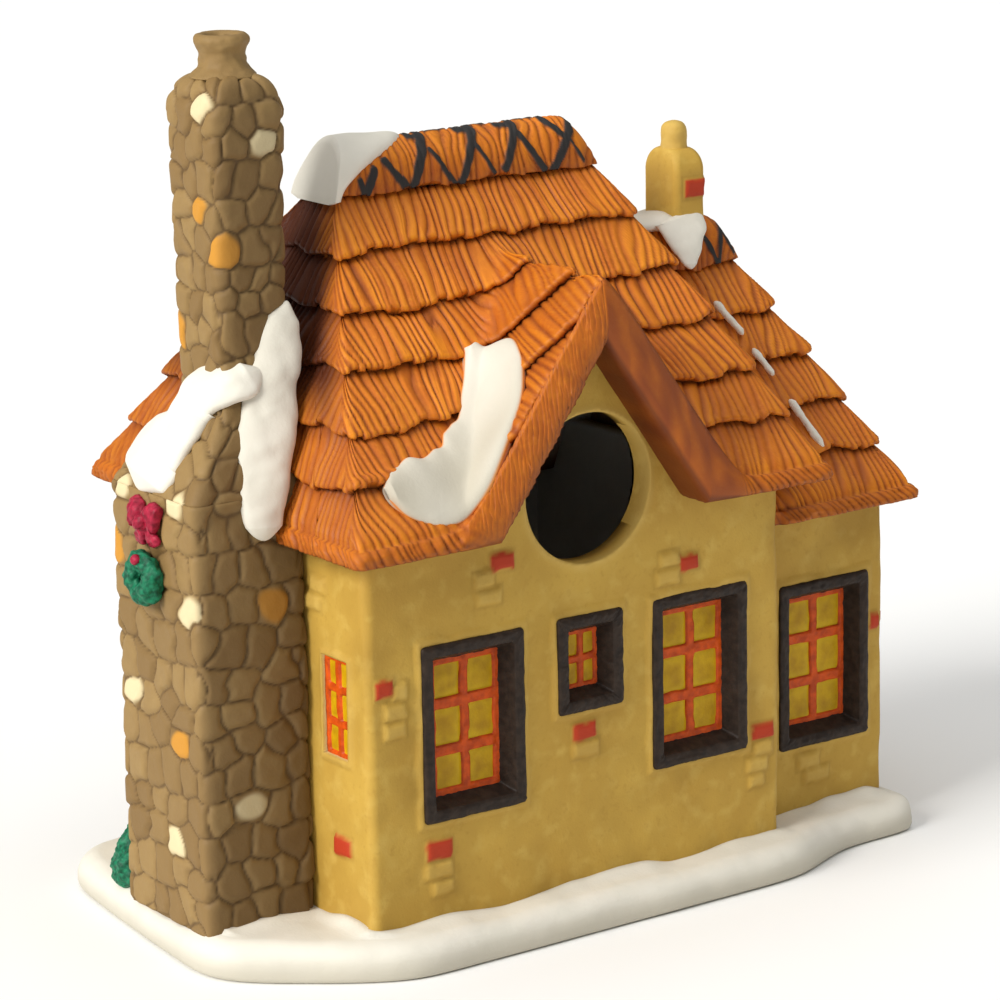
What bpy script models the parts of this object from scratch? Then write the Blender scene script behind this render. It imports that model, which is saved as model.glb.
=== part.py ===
"""Lighted village cottage: a hollow, slip-cast porcelain house with a thatched roof on a snow base.

The house stands on z = 0 with +Z up. Its long back wall, with the round lamp hole in a cross
gable, faces -Y. The stone chimney stands against the end wall at -X and the low wing is at +X.
Places along x are first measured from the outer face of the chimney end wall, and the whole house
is then moved so that the snow base is centred on the origin.
"""

import math

import bmesh
import bpy
from mathutils import Matrix, Vector

MM = 0.001

# Clearance between two pieces that touch
GAP = 0.3 * MM

# Snow base
BASE_HEIGHT = 7.5 * MM
BASE_MARGIN = 8.5 * MM
BASE_END_MARGIN = 7.0 * MM
BASE_CHIMNEY_MARGIN = 3.6 * MM
BASE_SHRUB_DRIFT = 21.0 * MM
BASE_ROUND = 4.5 * MM

# Walls
WALL = 4.5 * MM
MAIN_LENGTH = 98.0 * MM
MAIN_DEPTH = 80.0 * MM
MAIN_EAVE = 73.2 * MM
WING_LENGTH = 31.5 * MM
WING_SETBACK = 8.0 * MM
WING_EAVE = 63.0 * MM
CORNER_ROUND = 3.0 * MM
DOORWAY_SIDE = 14.0 * MM
DOORWAY_HEAD = 9.0 * MM

# Thatched roofs: courses step out over each other by a ledge, up to a cap along the ridge
ROOF_RISE = 1.375
HIP_RUN = 0.42
HIP_ROUND = 3.5 * MM
EAVE_OVERHANG = 8.0 * MM
END_OVERHANG = 6.4 * MM
EAVE_LIP = 3.8 * MM
MAIN_CAP_HEIGHT = 8.4 * MM
MAIN_COURSES = 6
WING_CAP_HEIGHT = 8.6 * MM
WING_COURSES = 5
LEDGE = 2.2 * MM
THATCH = 8.0 * MM
# The courses' lower edges wander up and down the slope, as laid by hand
LEDGE_WANDER = 0.8 * MM
LEDGE_RIPPLE = 0.35 * MM
WANDER_LENGTH = 6.5 * MM
RIPPLE_LENGTH = 2.9 * MM
SIDE_STEPS = 20
WING_OVERHANG = 7.0 * MM
WING_END_OVERHANG = 4.4 * MM
WING_LIP = 3.0 * MM

# Cross gable over the lamp hole, a little to the wing's side of the wall's middle
GABLE_CENTRE = MAIN_LENGTH / 2 + 0.5 * MM
GABLE_PEAK = 107.5 * MM
GABLE_RISE = 1.42
GABLE_THATCH = 13.5 * MM
GABLE_TUCK = 2.6 * MM
LAMP_HOLE_RADIUS = 14.6 * MM
LAMP_HOLE_HEIGHT = 78.5 * MM
LAMP_HOLE_SIDE = 1.4 * MM
LAMP_RIM = 0.8 * MM

# Windows: width and height, and the columns and rows of their panes
LARGE_WINDOW = (23.4 * MM, 34.6 * MM)
LARGE_PANES = (2, 3)
SMALL_WINDOW = (15.5 * MM, 19.2 * MM)
SMALL_PANES = (2, 2)
END_WINDOW = (9.0 * MM, 20.0 * MM)
END_PANES = (2, 3)
FRAME_BORDER = 2.5 * MM
FRAME_TAPER = 1.6 * MM
FRAME_PROUD = 1.2 * MM
FRAME_DEPTH = 2.6 * MM
LATTICE_DEPTH = 0.9 * MM
LATTICE_BAR = 1.5 * MM
PANE_DEPTH = 0.7 * MM
END_LATTICE_INSET = 0.8 * MM

# Window places on the back wall, from the chimney corner, and heights above the snow. The large
# windows stand at shares of the wall's length and the small one under the gable's lamp hole.
LEFT_WINDOW_SHARE = 0.239
RIGHT_WINDOW_SHARE = 0.789
LEFT_WINDOW_X = MAIN_LENGTH * LEFT_WINDOW_SHARE
RIGHT_WINDOW_X = MAIN_LENGTH * RIGHT_WINDOW_SHARE
SMALL_WINDOW_X = GABLE_CENTRE + 1.2 * MM
LARGE_WINDOW_Z = 36.8 * MM
SMALL_WINDOW_Z = 44.4 * MM
WING_WINDOW_X = 17.2 * MM
WING_WINDOW_Z = 30.8 * MM
END_WINDOW_Y = 10.5 * MM
END_WINDOW_Z = 42.3 * MM

# Front door, on the wall that faces +Y
DOOR_WIDTH = 17.0 * MM
DOOR_HEIGHT = 38.0 * MM
DOOR_BORDER = 3.0 * MM
STEP_HEIGHT = 3.0 * MM
STEP_DEPTH = 6.0 * MM

# Relief bricks
BRICK_LENGTH = 5.4 * MM
BRICK_HEIGHT = 3.0 * MM
BRICK_PROUD = 0.7 * MM
BRICK_JOINT = 0.4 * MM

# Soft edges of the door and its step
SOFT_EDGE = 0.6 * MM

# Stone chimney against the end wall
BREAST_PROJECTION = 24.0 * MM
BREAST_WIDTH = 30.5 * MM
CHIMNEY_SIDE = 34.2 * MM
BREAST_HEIGHT = 82.5 * MM
SHOULDER_HEIGHT = 17.0 * MM
SHOULDER_KNEE = 2.0 * MM
STONE_ROUND = 2.0 * MM
STACK_LENGTH = 14.6 * MM
STACK_WIDTH = 16.8 * MM
STACK_INSET = 11.6 * MM
STACK_TOP = 159.0 * MM
STACK_ROUND = 4.5 * MM
POT_RADIUS = 5.0 * MM
POT_NECK = 4.1 * MM
POT_HEIGHT = 7.4 * MM
POT_BORE = 2.6 * MM

# Small rendered chimney on the wing ridge, just past the main block's end wall
SMALL_STACK_X = MAIN_LENGTH + 5.4 * MM
SMALL_STACK_LENGTH = 7.6 * MM
SMALL_STACK_WIDTH = 11.0 * MM
SMALL_STACK_TOP = 133.0 * MM
SMALL_STACK_ROUND = 1.2 * MM
SMALL_KNOB_HEIGHT = 5.6 * MM
SMALL_KNOB_RADIUS = 3.4 * MM

# Snow that lies on the roofs and on the chimney's shoulder. Each patch is a band along its
# stations, which give the place of its middle and its width there, in snow steps.
SNOW_STEP = 1.0 * MM
SNOW_THICK = 2.4 * MM
# On the valley beside the cross gable: x from the gable's ridge, y in from the eave, width
GABLE_SNOW = [
    (-12.5, 20.5, 6),
    (-14.5, 16.0, 10),
    (-18.5, 10.5, 12),
    (-24.0, 6.0, 13),
    (-30.5, 3.6, 12),
    (-38.0, 3.8, 11),
    (-44.0, 6.0, 6),
]
# Down the near side of the stack and over the shoulder: x from the stack's roof side, y out from
# its near side, height over the breast, width
VERGE_SNOW = [
    (-0.6, 0.6, 35.0, 2),
    (-2.6, 0.8, 28.5, 7),
    (-4.6, 1.0, 19.0, 10),
    (-7.0, 2.4, 13.0, 12),
    (-8.8, 4.6, 7.5, 11),
    (-11.2, 7.2, 1.0, 8),
    (-12.4, 8.4, -4.0, 6),
    (-12.6, 8.6, -8.0, 4),
]
# Up the shoulder's outer side and round the foot of the stack: x out from the stack's outer side,
# y from its near side, height over the breast, width
SHOULDER_SNOW = [
    (11.0, 6.5, 0.6, 5),
    (9.2, 10.0, 3.6, 15),
    (6.2, 10.6, 8.2, 17),
    (3.0, 8.4, 13.6, 15),
    (0.8, 4.6, 18.0, 13),
    (-1.6, -0.4, 19.6, 10),
    (-4.4, -0.8, 21.4, 6),
]
RIDGE_SNOW_LENGTH = 19.0 * MM
RIDGE_SNOW_THICK = 1.5 * MM

# Wreath and bow on the chimney, shrub beside it. The wreath hangs below the breast's top.
WREATH_RADIUS = 3.7 * MM
WREATH_TUBE = 1.7 * MM
WREATH_DROP = 15.5 * MM
BOW_LENGTH = 10.0 * MM
BOW_HEIGHT = 8.4 * MM
BERRY_RADIUS = 1.0 * MM
SHRUB_RADIUS = 4.6 * MM
SHRUB_HEIGHT = 13.5 * MM

# Heights worked out from the sizes above, over the underside of the base
FLOOR = BASE_HEIGHT
MAIN_SOFFIT = FLOOR + MAIN_EAVE
WING_SOFFIT = FLOOR + WING_EAVE
MAIN_HALF = MAIN_DEPTH / 2
WING_HALF = MAIN_HALF - WING_SETBACK
WING_START = MAIN_LENGTH + GAP
WING_END = WING_START + WING_LENGTH
BASE_LEFT = -(BREAST_PROJECTION + BASE_CHIMNEY_MARGIN)
BASE_RIGHT = WING_END + BASE_END_MARGIN
CENTRE = (BASE_LEFT + BASE_RIGHT) / 2
CHIMNEY_Y = CHIMNEY_SIDE - MAIN_HALF
MAIN_TIP = MAIN_SOFFIT + EAVE_LIP
WING_TIP = WING_SOFFIT + WING_LIP
MAIN_RIDGE = MAIN_TIP + (MAIN_HALF + EAVE_OVERHANG) * ROOF_RISE
WING_RIDGE = WING_TIP + (WING_HALF + WING_OVERHANG) * ROOF_RISE
MAIN_CAP = MAIN_RIDGE - MAIN_CAP_HEIGHT
WING_CAP = WING_RIDGE - WING_CAP_HEIGHT
COURSE_RISE = (MAIN_CAP - MAIN_TIP) / MAIN_COURSES
WING_COURSE_RISE = (WING_CAP - WING_TIP) / WING_COURSES

CLAY_COLOURS = {
    "bisque_cream": ((0.76, 0.56, 0.13), 0.62),
    "thatch_glaze": ((0.66, 0.18, 0.014), 0.55),
    "ridge_thatch": ((0.60, 0.15, 0.012), 0.55),
    "fieldstone": ((0.36, 0.24, 0.10), 0.7),
    "snow_white": ((0.90, 0.89, 0.83), 0.6),
    "window_brown": ((0.045, 0.027, 0.024), 0.5),
    "lattice_red": ((0.62, 0.04, 0.01), 0.45),
    "pane_yellow": ((0.72, 0.45, 0.01), 0.4),
    "door_brown": ((0.18, 0.06, 0.02), 0.5),
    "wreath_green": ((0.012, 0.25, 0.12), 0.55),
    "bow_red": ((0.48, 0.01, 0.045), 0.45),
}


def clear_scene():
    for item in list(bpy.data.objects):
        bpy.data.objects.remove(item, do_unlink=True)


def make_collection(name):
    collection = bpy.data.collections.new(name)
    bpy.context.scene.collection.children.link(collection)
    return collection


clear_scene()
PARTS = make_collection("village_cottage")
CUTTERS = make_collection("cutters")
ORIGIN = bpy.data.objects.new("house_origin", None)
ORIGIN.location = (-CENTRE, 0, 0)
PARTS.objects.link(ORIGIN)


def clay(name):
    material = bpy.data.materials.get(name)
    if material is None:
        material = bpy.data.materials.new(name)
        material.use_nodes = True
        colour, roughness = CLAY_COLOURS[name]
        shader = material.node_tree.nodes["Principled BSDF"]
        shader.inputs["Base Color"].default_value = (*colour, 1)
        shader.inputs["Roughness"].default_value = roughness
        shader.inputs["Metallic"].default_value = 0
    return material


def add_mesh(name, shape, material=None, smooth_angle=None):
    """Turns a bmesh into an object: a part with a material, or a cutter without one."""
    bmesh.ops.recalc_face_normals(shape, faces=shape.faces)
    mesh = bpy.data.meshes.new(name)
    shape.to_mesh(mesh)
    shape.free()
    item = bpy.data.objects.new(name, mesh)
    item.parent = ORIGIN
    if material is None:
        item.hide_render = True
        item.display_type = "WIRE"
        CUTTERS.objects.link(item)
        return item
    mesh.materials.append(clay(material))
    if smooth_angle is not None:
        mesh.shade_smooth()
        mesh.set_sharp_from_angle(angle=math.radians(smooth_angle))
    PARTS.objects.link(item)
    return item


def box_shape(low, high, shape=None):
    """A box between two corners, added to the shape if there is one."""
    shape = shape or bmesh.new()
    made = bmesh.ops.create_cube(shape, size=1)["verts"]
    size = [b - a for a, b in zip(low, high)]
    middle = [(a + b) / 2 for a, b in zip(low, high)]
    bmesh.ops.scale(shape, vec=size, verts=made)
    bmesh.ops.translate(shape, vec=middle, verts=made)
    return shape


def loft_shape(rings, shape=None):
    """Skins rings of equal count into one closed shape, with a flat face on each end."""
    shape = shape or bmesh.new()
    loops = [[shape.verts.new(point) for point in ring] for ring in rings]
    count = len(loops[0])
    for lower, upper in zip(loops, loops[1:]):
        for i in range(count):
            j = (i + 1) % count
            shape.faces.new((lower[i], lower[j], upper[j], upper[i]))
    shape.faces.new(loops[0][::-1])
    shape.faces.new(loops[-1])
    return shape


def rounded_corners(corners, radii, z, steps=3):
    """A closed outline whose corners are arcs that touch both sides."""
    ring = []
    count = len(corners)
    for i, (corner, radius) in enumerate(zip(corners, radii)):
        here = Vector(corner)
        before = (Vector(corners[i - 1]) - here).normalized()
        after = (Vector(corners[(i + 1) % count]) - here).normalized()
        half_angle = before.angle(after) / 2
        centre = here + (before + after).normalized() * radius / math.sin(half_angle)
        reach = radius / math.tan(half_angle)
        start = here + before * reach - centre
        end = here + after * reach - centre
        turn = start.angle_signed(end)
        for step in range(steps + 1):
            spoke = start.copy()
            spoke.rotate(Matrix.Rotation(-turn * step / steps, 2))
            ring.append((centre.x + spoke.x, centre.y + spoke.y, z))
    return ring


def oblong(x0, x1, y0, y1, z, radius, steps=3):
    """A rectangle with round corners at one height."""
    corners = [(x0, y0), (x1, y0), (x1, y1), (x0, y1)]
    return rounded_corners(corners, [radius] * 4, z, steps)


def cut(item, cutter):
    modifier = item.modifiers.new("cut_" + cutter.name, "BOOLEAN")
    modifier.operation = "DIFFERENCE"
    modifier.solver = "EXACT"
    modifier.object = cutter


def join(item, other):
    modifier = item.modifiers.new("join_" + other.name, "BOOLEAN")
    modifier.operation = "UNION"
    modifier.solver = "EXACT"
    modifier.object = other


def soften(item, width, segments=2, angle=40):
    modifier = item.modifiers.new("soften", "BEVEL")
    modifier.width = width
    modifier.segments = segments
    modifier.limit_method = "ANGLE"
    modifier.angle_limit = math.radians(angle)


def place(item, at, turn=0.0):
    """Puts an object at a point of the house, turned about +Z."""
    item.location = at
    item.rotation_euler = (0, 0, turn)


# Snow base


def base_outline(inset, z):
    near = MAIN_HALF + BASE_MARGIN - inset
    wing = WING_HALF + BASE_MARGIN - inset
    left = BASE_LEFT + inset
    right = BASE_RIGHT - inset
    beside = BREAST_WIDTH / 2 + BASE_CHIMNEY_MARGIN * 0.8 - inset
    step_start = MAIN_LENGTH
    step_end = MAIN_LENGTH + WING_SETBACK * 2
    drift = BASE_SHRUB_DRIFT - inset
    corners = [
        (left, CHIMNEY_Y - beside),
        (BASE_CHIMNEY_MARGIN, -near),
        (step_start, -near),
        (step_end, -wing),
        (right, -wing),
        (right, wing),
        (step_end, wing),
        (step_start, near),
        (BASE_CHIMNEY_MARGIN, near),
        (-drift, near - drift * 0.4),
        (left + BASE_CHIMNEY_MARGIN, CHIMNEY_Y + beside),
    ]
    sharp = BASE_MARGIN
    wide = BASE_MARGIN * 1.6
    radii = [sharp * 1.1, wide, sharp, sharp, sharp, sharp, sharp, sharp, wide, sharp, wide]
    return rounded_corners(corners, radii, z, 4)


def make_base():
    rings = [base_outline(BASE_ROUND * 0.3, 0), base_outline(0, BASE_ROUND * 0.4)]
    for step in range(4):
        angle = math.radians(30 * step)
        inset = BASE_ROUND * (1 - math.cos(angle))
        height = BASE_HEIGHT - BASE_ROUND * (1 - math.sin(angle))
        rings.append(base_outline(inset, height))
    return add_mesh("snow_base", loft_shape(rings), "snow_white", 50)


# Walls


def window_specs():
    """Every window: name, size, panes, wall, point on that wall's outer face and turn about +Z."""
    back = -MAIN_HALF
    wing_back = -WING_HALF
    high = FLOOR + LARGE_WINDOW_Z
    low = FLOOR + WING_WINDOW_Z
    large = (LARGE_WINDOW, LARGE_PANES)
    small = (SMALL_WINDOW, SMALL_PANES)
    slim = (END_WINDOW, END_PANES)
    small_at = (SMALL_WINDOW_X, back, FLOOR + SMALL_WINDOW_Z)
    end_at = (0, END_WINDOW_Y - MAIN_HALF, FLOOR + END_WINDOW_Z)
    wing_x = WING_START + WING_WINDOW_X
    return [
        ("left_window", *large, "back_wall", (LEFT_WINDOW_X, back, high), 0),
        ("small_window", *small, "back_wall", small_at, 0),
        ("right_window", *large, "back_wall", (RIGHT_WINDOW_X, back, high), 0),
        ("wing_window", *large, "wing_walls", (wing_x, wing_back, low), 0),
        ("end_window", *slim, "chimney_wall", end_at, -math.pi / 2),
        ("front_left_window", *large, "front_wall", (RIGHT_WINDOW_X, -back, high), math.pi),
        ("front_right_window", *large, "front_wall", (LEFT_WINDOW_X, -back, high), math.pi),
        ("front_wing_window", *large, "wing_walls", (wing_x, -wing_back, low), math.pi),
    ]


def cut_windows(item):
    """Cuts a wall's window holes, each as wide as its window and a clearance."""
    for name, size, _, wall, at, turn in window_specs():
        if wall != item.name:
            continue
        half = size[0] / 2 + GAP
        tall = size[1] / 2 + GAP
        deep = WALL * 2
        hole = add_mesh(name + "_hole", box_shape((-half, -deep, -tall), (half, deep, tall)))
        place(hole, at, turn)
        cut(item, hole)


def gable_triangle(low, slack, length, name, start):
    """A prism along y under the cross gable, its sides moved in by the slack."""
    rise = slack * math.sqrt(1 + GABLE_RISE**2)
    peak = FLOOR + GABLE_PEAK - rise
    half = (peak - low) / GABLE_RISE
    rings = [
        [
            (GABLE_CENTRE - half, y, low),
            (GABLE_CENTRE + half, y, low),
            (GABLE_CENTRE, y, peak),
        ]
        for y in (start, start + length)
    ]
    return add_mesh(name, loft_shape(rings))


def back_wall_outline(y):
    """The back wall's outline: its oblong, and the gable that tucks up into its thatch."""
    top = MAIN_SOFFIT - GAP
    peak = FLOOR + GABLE_PEAK + GABLE_TUCK * math.sqrt(1 + GABLE_RISE**2)
    half = (peak - top) / GABLE_RISE
    left = WALL + GAP
    return [
        (left, y, FLOOR + GAP),
        (MAIN_LENGTH, y, FLOOR + GAP),
        (MAIN_LENGTH, y, top),
        (GABLE_CENTRE + half, y, top),
        (GABLE_CENTRE, y, peak),
        (GABLE_CENTRE - half, y, top),
        (left, y, top),
    ]


def lamp_cylinder(name, radius, start, end):
    shape = bmesh.new()
    bmesh.ops.create_cone(
        shape,
        cap_ends=True,
        segments=40,
        radius1=radius,
        radius2=radius,
        depth=end - start,
    )
    bmesh.ops.rotate(shape, matrix=Matrix.Rotation(math.pi / 2, 3, "X"), verts=shape.verts)
    middle = (GABLE_CENTRE + LAMP_HOLE_SIDE, (start + end) / 2, FLOOR + LAMP_HOLE_HEIGHT)
    bmesh.ops.translate(shape, vec=middle, verts=shape.verts)
    return add_mesh(name, shape)


def brick_boxes(name, corners, face, turn):
    """Relief bricks on one wall: each corner is the left and lower edge of a brick on its face."""
    shape = None
    for u, z in corners:
        low = (u, -BRICK_PROUD, z)
        high = (u + BRICK_LENGTH, WALL / 2, z + BRICK_HEIGHT)
        shape = box_shape(low, high, shape)
    bricks = add_mesh(name, shape)
    place(bricks, face, turn)
    return bricks


def back_brick_corners():
    """Bricks in twos and threes beside the windows of the back wall."""
    half = LARGE_WINDOW[0] / 2
    tall = LARGE_WINDOW[1] / 2
    clear = BRICK_HEIGHT * 0.6
    step = BRICK_LENGTH * 0.62
    rise = BRICK_HEIGHT + BRICK_JOINT
    above = FLOOR + LARGE_WINDOW_Z + tall + clear
    below = FLOOR + LARGE_WINDOW_Z - tall - clear - BRICK_HEIGHT
    corners = []
    for x, z in (
        (LEFT_WINDOW_X + step, above + rise),
        (LEFT_WINDOW_X - half + step, below),
        (RIGHT_WINDOW_X + half + clear, below + rise * 2),
        (RIGHT_WINDOW_X - half * 0.5, above + clear),
    ):
        corners += [(x, z), (x - step * 0.3, z - rise)]
    under_small = FLOOR + SMALL_WINDOW_Z - SMALL_WINDOW[1] / 2 - clear - BRICK_HEIGHT
    corners.append((SMALL_WINDOW_X - step, under_small))
    corners.append((SMALL_WINDOW_X - step * 0.6, under_small - rise))
    return corners


def make_back_wall():
    outline = [back_wall_outline(-MAIN_HALF), back_wall_outline(-MAIN_HALF + WALL)]
    wall = add_mesh("back_wall", loft_shape(outline), "bisque_cream")
    join(wall, brick_boxes("back_bricks", back_brick_corners(), (0, -MAIN_HALF, 0), 0))
    rim_radius = LAMP_HOLE_RADIUS + LAMP_RIM
    rim_end = -MAIN_HALF + WALL / 2
    join(wall, lamp_cylinder("lamp_rim", rim_radius, -MAIN_HALF - LAMP_RIM, rim_end))
    cut(wall, lamp_cylinder("lamp_hole", LAMP_HOLE_RADIUS, -MAIN_DEPTH, -MAIN_HALF + WALL * 2))
    cut_windows(wall)


def make_front_wall():
    low = (WALL + GAP, MAIN_HALF - WALL, FLOOR + GAP)
    high = (MAIN_LENGTH, MAIN_HALF, MAIN_SOFFIT - GAP)
    wall = add_mesh("front_wall", box_shape(low, high), "bisque_cream")
    cut_windows(wall)
    side = DOOR_WIDTH / 2 + DOOR_BORDER + GAP
    head = FLOOR + STEP_HEIGHT + DOOR_HEIGHT + DOOR_BORDER + GAP
    door_hole = add_mesh("door_hole", box_shape((-side, -WALL * 2, 0), (side, WALL * 2, head)))
    place(door_hole, (MAIN_LENGTH / 2, MAIN_HALF, 0))
    cut(wall, door_hole)


def make_end_walls():
    """The wall behind the stone chimney, and the wall with the way through into the wing."""
    top = MAIN_SOFFIT - GAP
    low = (0, -MAIN_HALF, FLOOR + GAP)
    chimney_wall = add_mesh("chimney_wall", box_shape(low, (WALL, MAIN_HALF, top)), "bisque_cream")
    cut_windows(chimney_wall)
    inside = MAIN_HALF - WALL - GAP
    low = (MAIN_LENGTH - WALL, -inside, FLOOR + GAP)
    passage_wall = add_mesh("passage_wall", box_shape(low, (MAIN_LENGTH, inside, top)), "bisque_cream")
    side = WING_HALF - DOORWAY_SIDE
    head = WING_SOFFIT - DOORWAY_HEAD
    passage = box_shape((MAIN_LENGTH - WALL * 2, -side, 0), (MAIN_LENGTH + WALL, side, head))
    cut(passage_wall, add_mesh("wing_passage", passage))


def make_wing_walls():
    top = WING_SOFFIT - GAP
    block = box_shape((WING_START, -WING_HALF, FLOOR + GAP), (WING_END, WING_HALF, top))
    walls = add_mesh("wing_walls", block, "bisque_cream")
    inside = WING_HALF - WALL
    room = box_shape((0, -inside, 0), (WING_END - WALL, inside, WING_SOFFIT * 2))
    cut(walls, add_mesh("wing_room", room))
    cut_windows(walls)


# Windows: each is a frame, a lattice behind it and a pane behind that. The end window has no
# frame: its lattice lies just inside the wall's face.


def make_window(name, size, panes, wall, at, turn):
    width, height = size
    columns, rows = panes
    half = width / 2
    tall = height / 2
    framed = wall != "chimney_wall"
    if framed:
        ring = box_shape((-half, -FRAME_PROUD, -tall), (half, FRAME_DEPTH, tall))
        frame = add_mesh(name + "_frame", ring, "window_brown")
        soften(frame, FRAME_PROUD * 0.5, 1)
        rings = []
        for y, inset in (
            (-FRAME_PROUD * 2, FRAME_BORDER - FRAME_TAPER),
            (-FRAME_PROUD, FRAME_BORDER),
            (FRAME_DEPTH, FRAME_BORDER + FRAME_TAPER),
            (FRAME_DEPTH * 2, FRAME_BORDER + FRAME_TAPER),
        ):
            w = half - inset
            h = tall - inset
            rings.append([(-w, y, -h), (w, y, -h), (w, y, h), (-w, y, h)])
        opening = add_mesh(name + "_opening", loft_shape(rings))
        cut(frame, opening)
        place(frame, at, turn)
        place(opening, at, turn)
        border = FRAME_BORDER + FRAME_TAPER
        front = FRAME_DEPTH + GAP
    else:
        border = LATTICE_BAR / 2
        front = END_LATTICE_INSET
    plate = box_shape((-half, front, -tall), (half, front + LATTICE_DEPTH, tall))
    lattice = add_mesh(name + "_lattice", plate, "lattice_red")
    side = border + LATTICE_BAR / 2
    bar = LATTICE_BAR if framed else LATTICE_BAR * 0.6
    pane_width = (width - 2 * side - bar * (columns - 1)) / columns
    pane_height = (height - 2 * side - bar * (rows - 1)) / rows
    holes = None
    for column in range(columns):
        for row in range(rows):
            x = -half + side + column * (pane_width + bar)
            z = -tall + side + row * (pane_height + bar)
            low = (x, 0, z)
            high = (x + pane_width, WALL * 2, z + pane_height)
            holes = box_shape(low, high, holes)
    lights = add_mesh(name + "_lights", holes)
    cut(lattice, lights)
    back = front + LATTICE_DEPTH + GAP
    sheet = box_shape((-half, back, -tall), (half, back + PANE_DEPTH, tall))
    pane = add_mesh(name + "_panes", sheet, "pane_yellow")
    for item in (lattice, lights, pane):
        place(item, at, turn)


# Front door


def make_door():
    at = (MAIN_LENGTH / 2, MAIN_HALF, FLOOR)
    half = DOOR_WIDTH / 2
    sill = STEP_HEIGHT
    head = STEP_HEIGHT + DOOR_HEIGHT
    outer = half + DOOR_BORDER
    frame = add_mesh(
        "front_door_frame",
        box_shape((-outer, -FRAME_PROUD, GAP), (outer, WALL * 0.8, head + DOOR_BORDER)),
        "window_brown",
    )
    doorway = add_mesh("doorway", box_shape((-half, -WALL, -WALL), (half, WALL * 2, head)))
    cut(frame, doorway)
    leaf = add_mesh(
        "front_door",
        box_shape((-half + GAP, WALL * 0.3, sill + GAP), (half - GAP, WALL * 0.75, head - GAP)),
        "door_brown",
    )
    soften(leaf, SOFT_EDGE, 2)
    step = add_mesh(
        "front_step",
        box_shape((-half + GAP, -STEP_DEPTH, GAP), (half - GAP, WALL * 0.75, sill)),
        "fieldstone",
    )
    soften(step, SOFT_EDGE, 2)
    for item in (frame, doorway, leaf, step):
        place(item, at, math.pi)


# Roofs


def main_half_at(z):
    """Half the main roof's depth at a height, at the tips of its courses."""
    return MAIN_HALF + EAVE_OVERHANG - (z - MAIN_TIP) / ROOF_RISE


def wing_half_at(z):
    return WING_HALF + WING_OVERHANG - (z - WING_TIP) / ROOF_RISE


def hip_ring(z, half, x0, x1, inset):
    """One level of a hipped roof, moved in by the inset."""
    depth = half - inset
    radius = min(HIP_ROUND, depth * 0.6)
    return oblong(x0 + inset, x1 - inset, -depth, depth, z, radius, 2)


def main_hip_at(z):
    """Where the chimney end's hip stands at a height."""
    return HIP_RUN * (z - MAIN_TIP) - END_OVERHANG


def main_ring(z, inset):
    start = main_hip_at(z)
    return hip_ring(z, main_half_at(z), start, MAIN_LENGTH - start, inset)


def wing_ring(z, inset):
    run = HIP_RUN * (z - WING_TIP)
    left = MAIN_LENGTH / 2 + WING_LENGTH
    return hip_ring(z, wing_half_at(z), left, WING_END + WING_END_OVERHANG - run, inset)


def side_points(points):
    """A roof's ring with its four straight sides cut into even steps."""
    fine = []
    corner = len(points) // 4
    for i, point in enumerate(points):
        fine.append(Vector(point))
        if i % corner == corner - 1:
            after = Vector(points[(i + 1) % len(points)])
            for step in range(1, SIDE_STEPS):
                fine.append(Vector(point).lerp(after, step / SIDE_STEPS))
    return fine


def ledge_wander(point, course):
    """How far a course's lower edge stands above its even height at a point of the roof."""
    x = point.x - MAIN_LENGTH / 2
    far = x / WANDER_LENGTH + 2.1 * course
    deep = point.y / WANDER_LENGTH + 1.7 * course
    close = x / RIPPLE_LENGTH + 3.3 * course
    near = point.y / RIPPLE_LENGTH + 2.7 * course
    return LEDGE_WANDER * (math.sin(far) + math.sin(deep)) / 2 + LEDGE_RIPPLE * (math.sin(close) + math.sin(near)) / 2


def wandering_ring(ring, z, inset, course):
    """A ring whose points are moved along the slope by the wander of a course's lower edge."""
    level = side_points(ring(z, inset))
    above = side_points(ring(z + MM, inset))
    return [a + (b - a) * ledge_wander(a, course) / MM for a, b in zip(level, above)]


def course_rings(ring, soffit, lip, rise, courses):
    """Rings of a thatched hip: a round eave, then courses whose lower edges step out."""
    levels = [(soffit, lip * 0.5), (soffit + lip * 0.3, lip * 0.1), (soffit + lip, 0)]
    rings = [side_points(ring(z, inset)) for z, inset in levels]
    for course in range(1, courses):
        z = soffit + lip + course * rise
        rings.append(wandering_ring(ring, z - LEDGE * 0.3, LEDGE, course))
        rings.append(wandering_ring(ring, z + LEDGE * 0.1, LEDGE * 0.1, course))
    rings.append(side_points(ring(soffit + lip + courses * rise, LEDGE)))
    return rings


def cap_levels(half_at, low, high):
    """Heights and insets of a rounded ridge cap, which steps out over the course below it."""
    rise = high - low - LEDGE * 0.3
    wide = half_at(low)
    levels = [(low, LEDGE * 0.6), (low + LEDGE * 0.3, 0)]
    for step in range(1, 5):
        angle = math.radians(90 * step / 5)
        z = low + LEDGE * 0.3 + rise * math.sin(angle)
        levels.append((z, half_at(z) - wide * math.cos(angle)))
    return levels


def cap_rings(ring, half_at, low, high):
    return [ring(z, inset) for z, inset in cap_levels(half_at, low, high)]


def attic_cutter(name, ring, half_at, soffit, room, cap):
    """The hollow under a hipped roof: the room's own walls, then a slope inside the thatch."""
    x0, x1, half = room
    rings = [oblong(x0, x1, -half, half, soffit - WALL, CORNER_ROUND, 2)]
    knee = soffit + (half_at(soffit) - LEDGE - THATCH - half) * ROOF_RISE
    top = cap - THATCH * 0.8
    sloped_top = ring(top, LEDGE + THATCH)
    rings.append(oblong(x0, x1, -half, half, max(knee, soffit + GAP), CORNER_ROUND, 2))
    rings.append(sloped_top)
    return add_mesh(name, loft_shape(rings))


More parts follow.
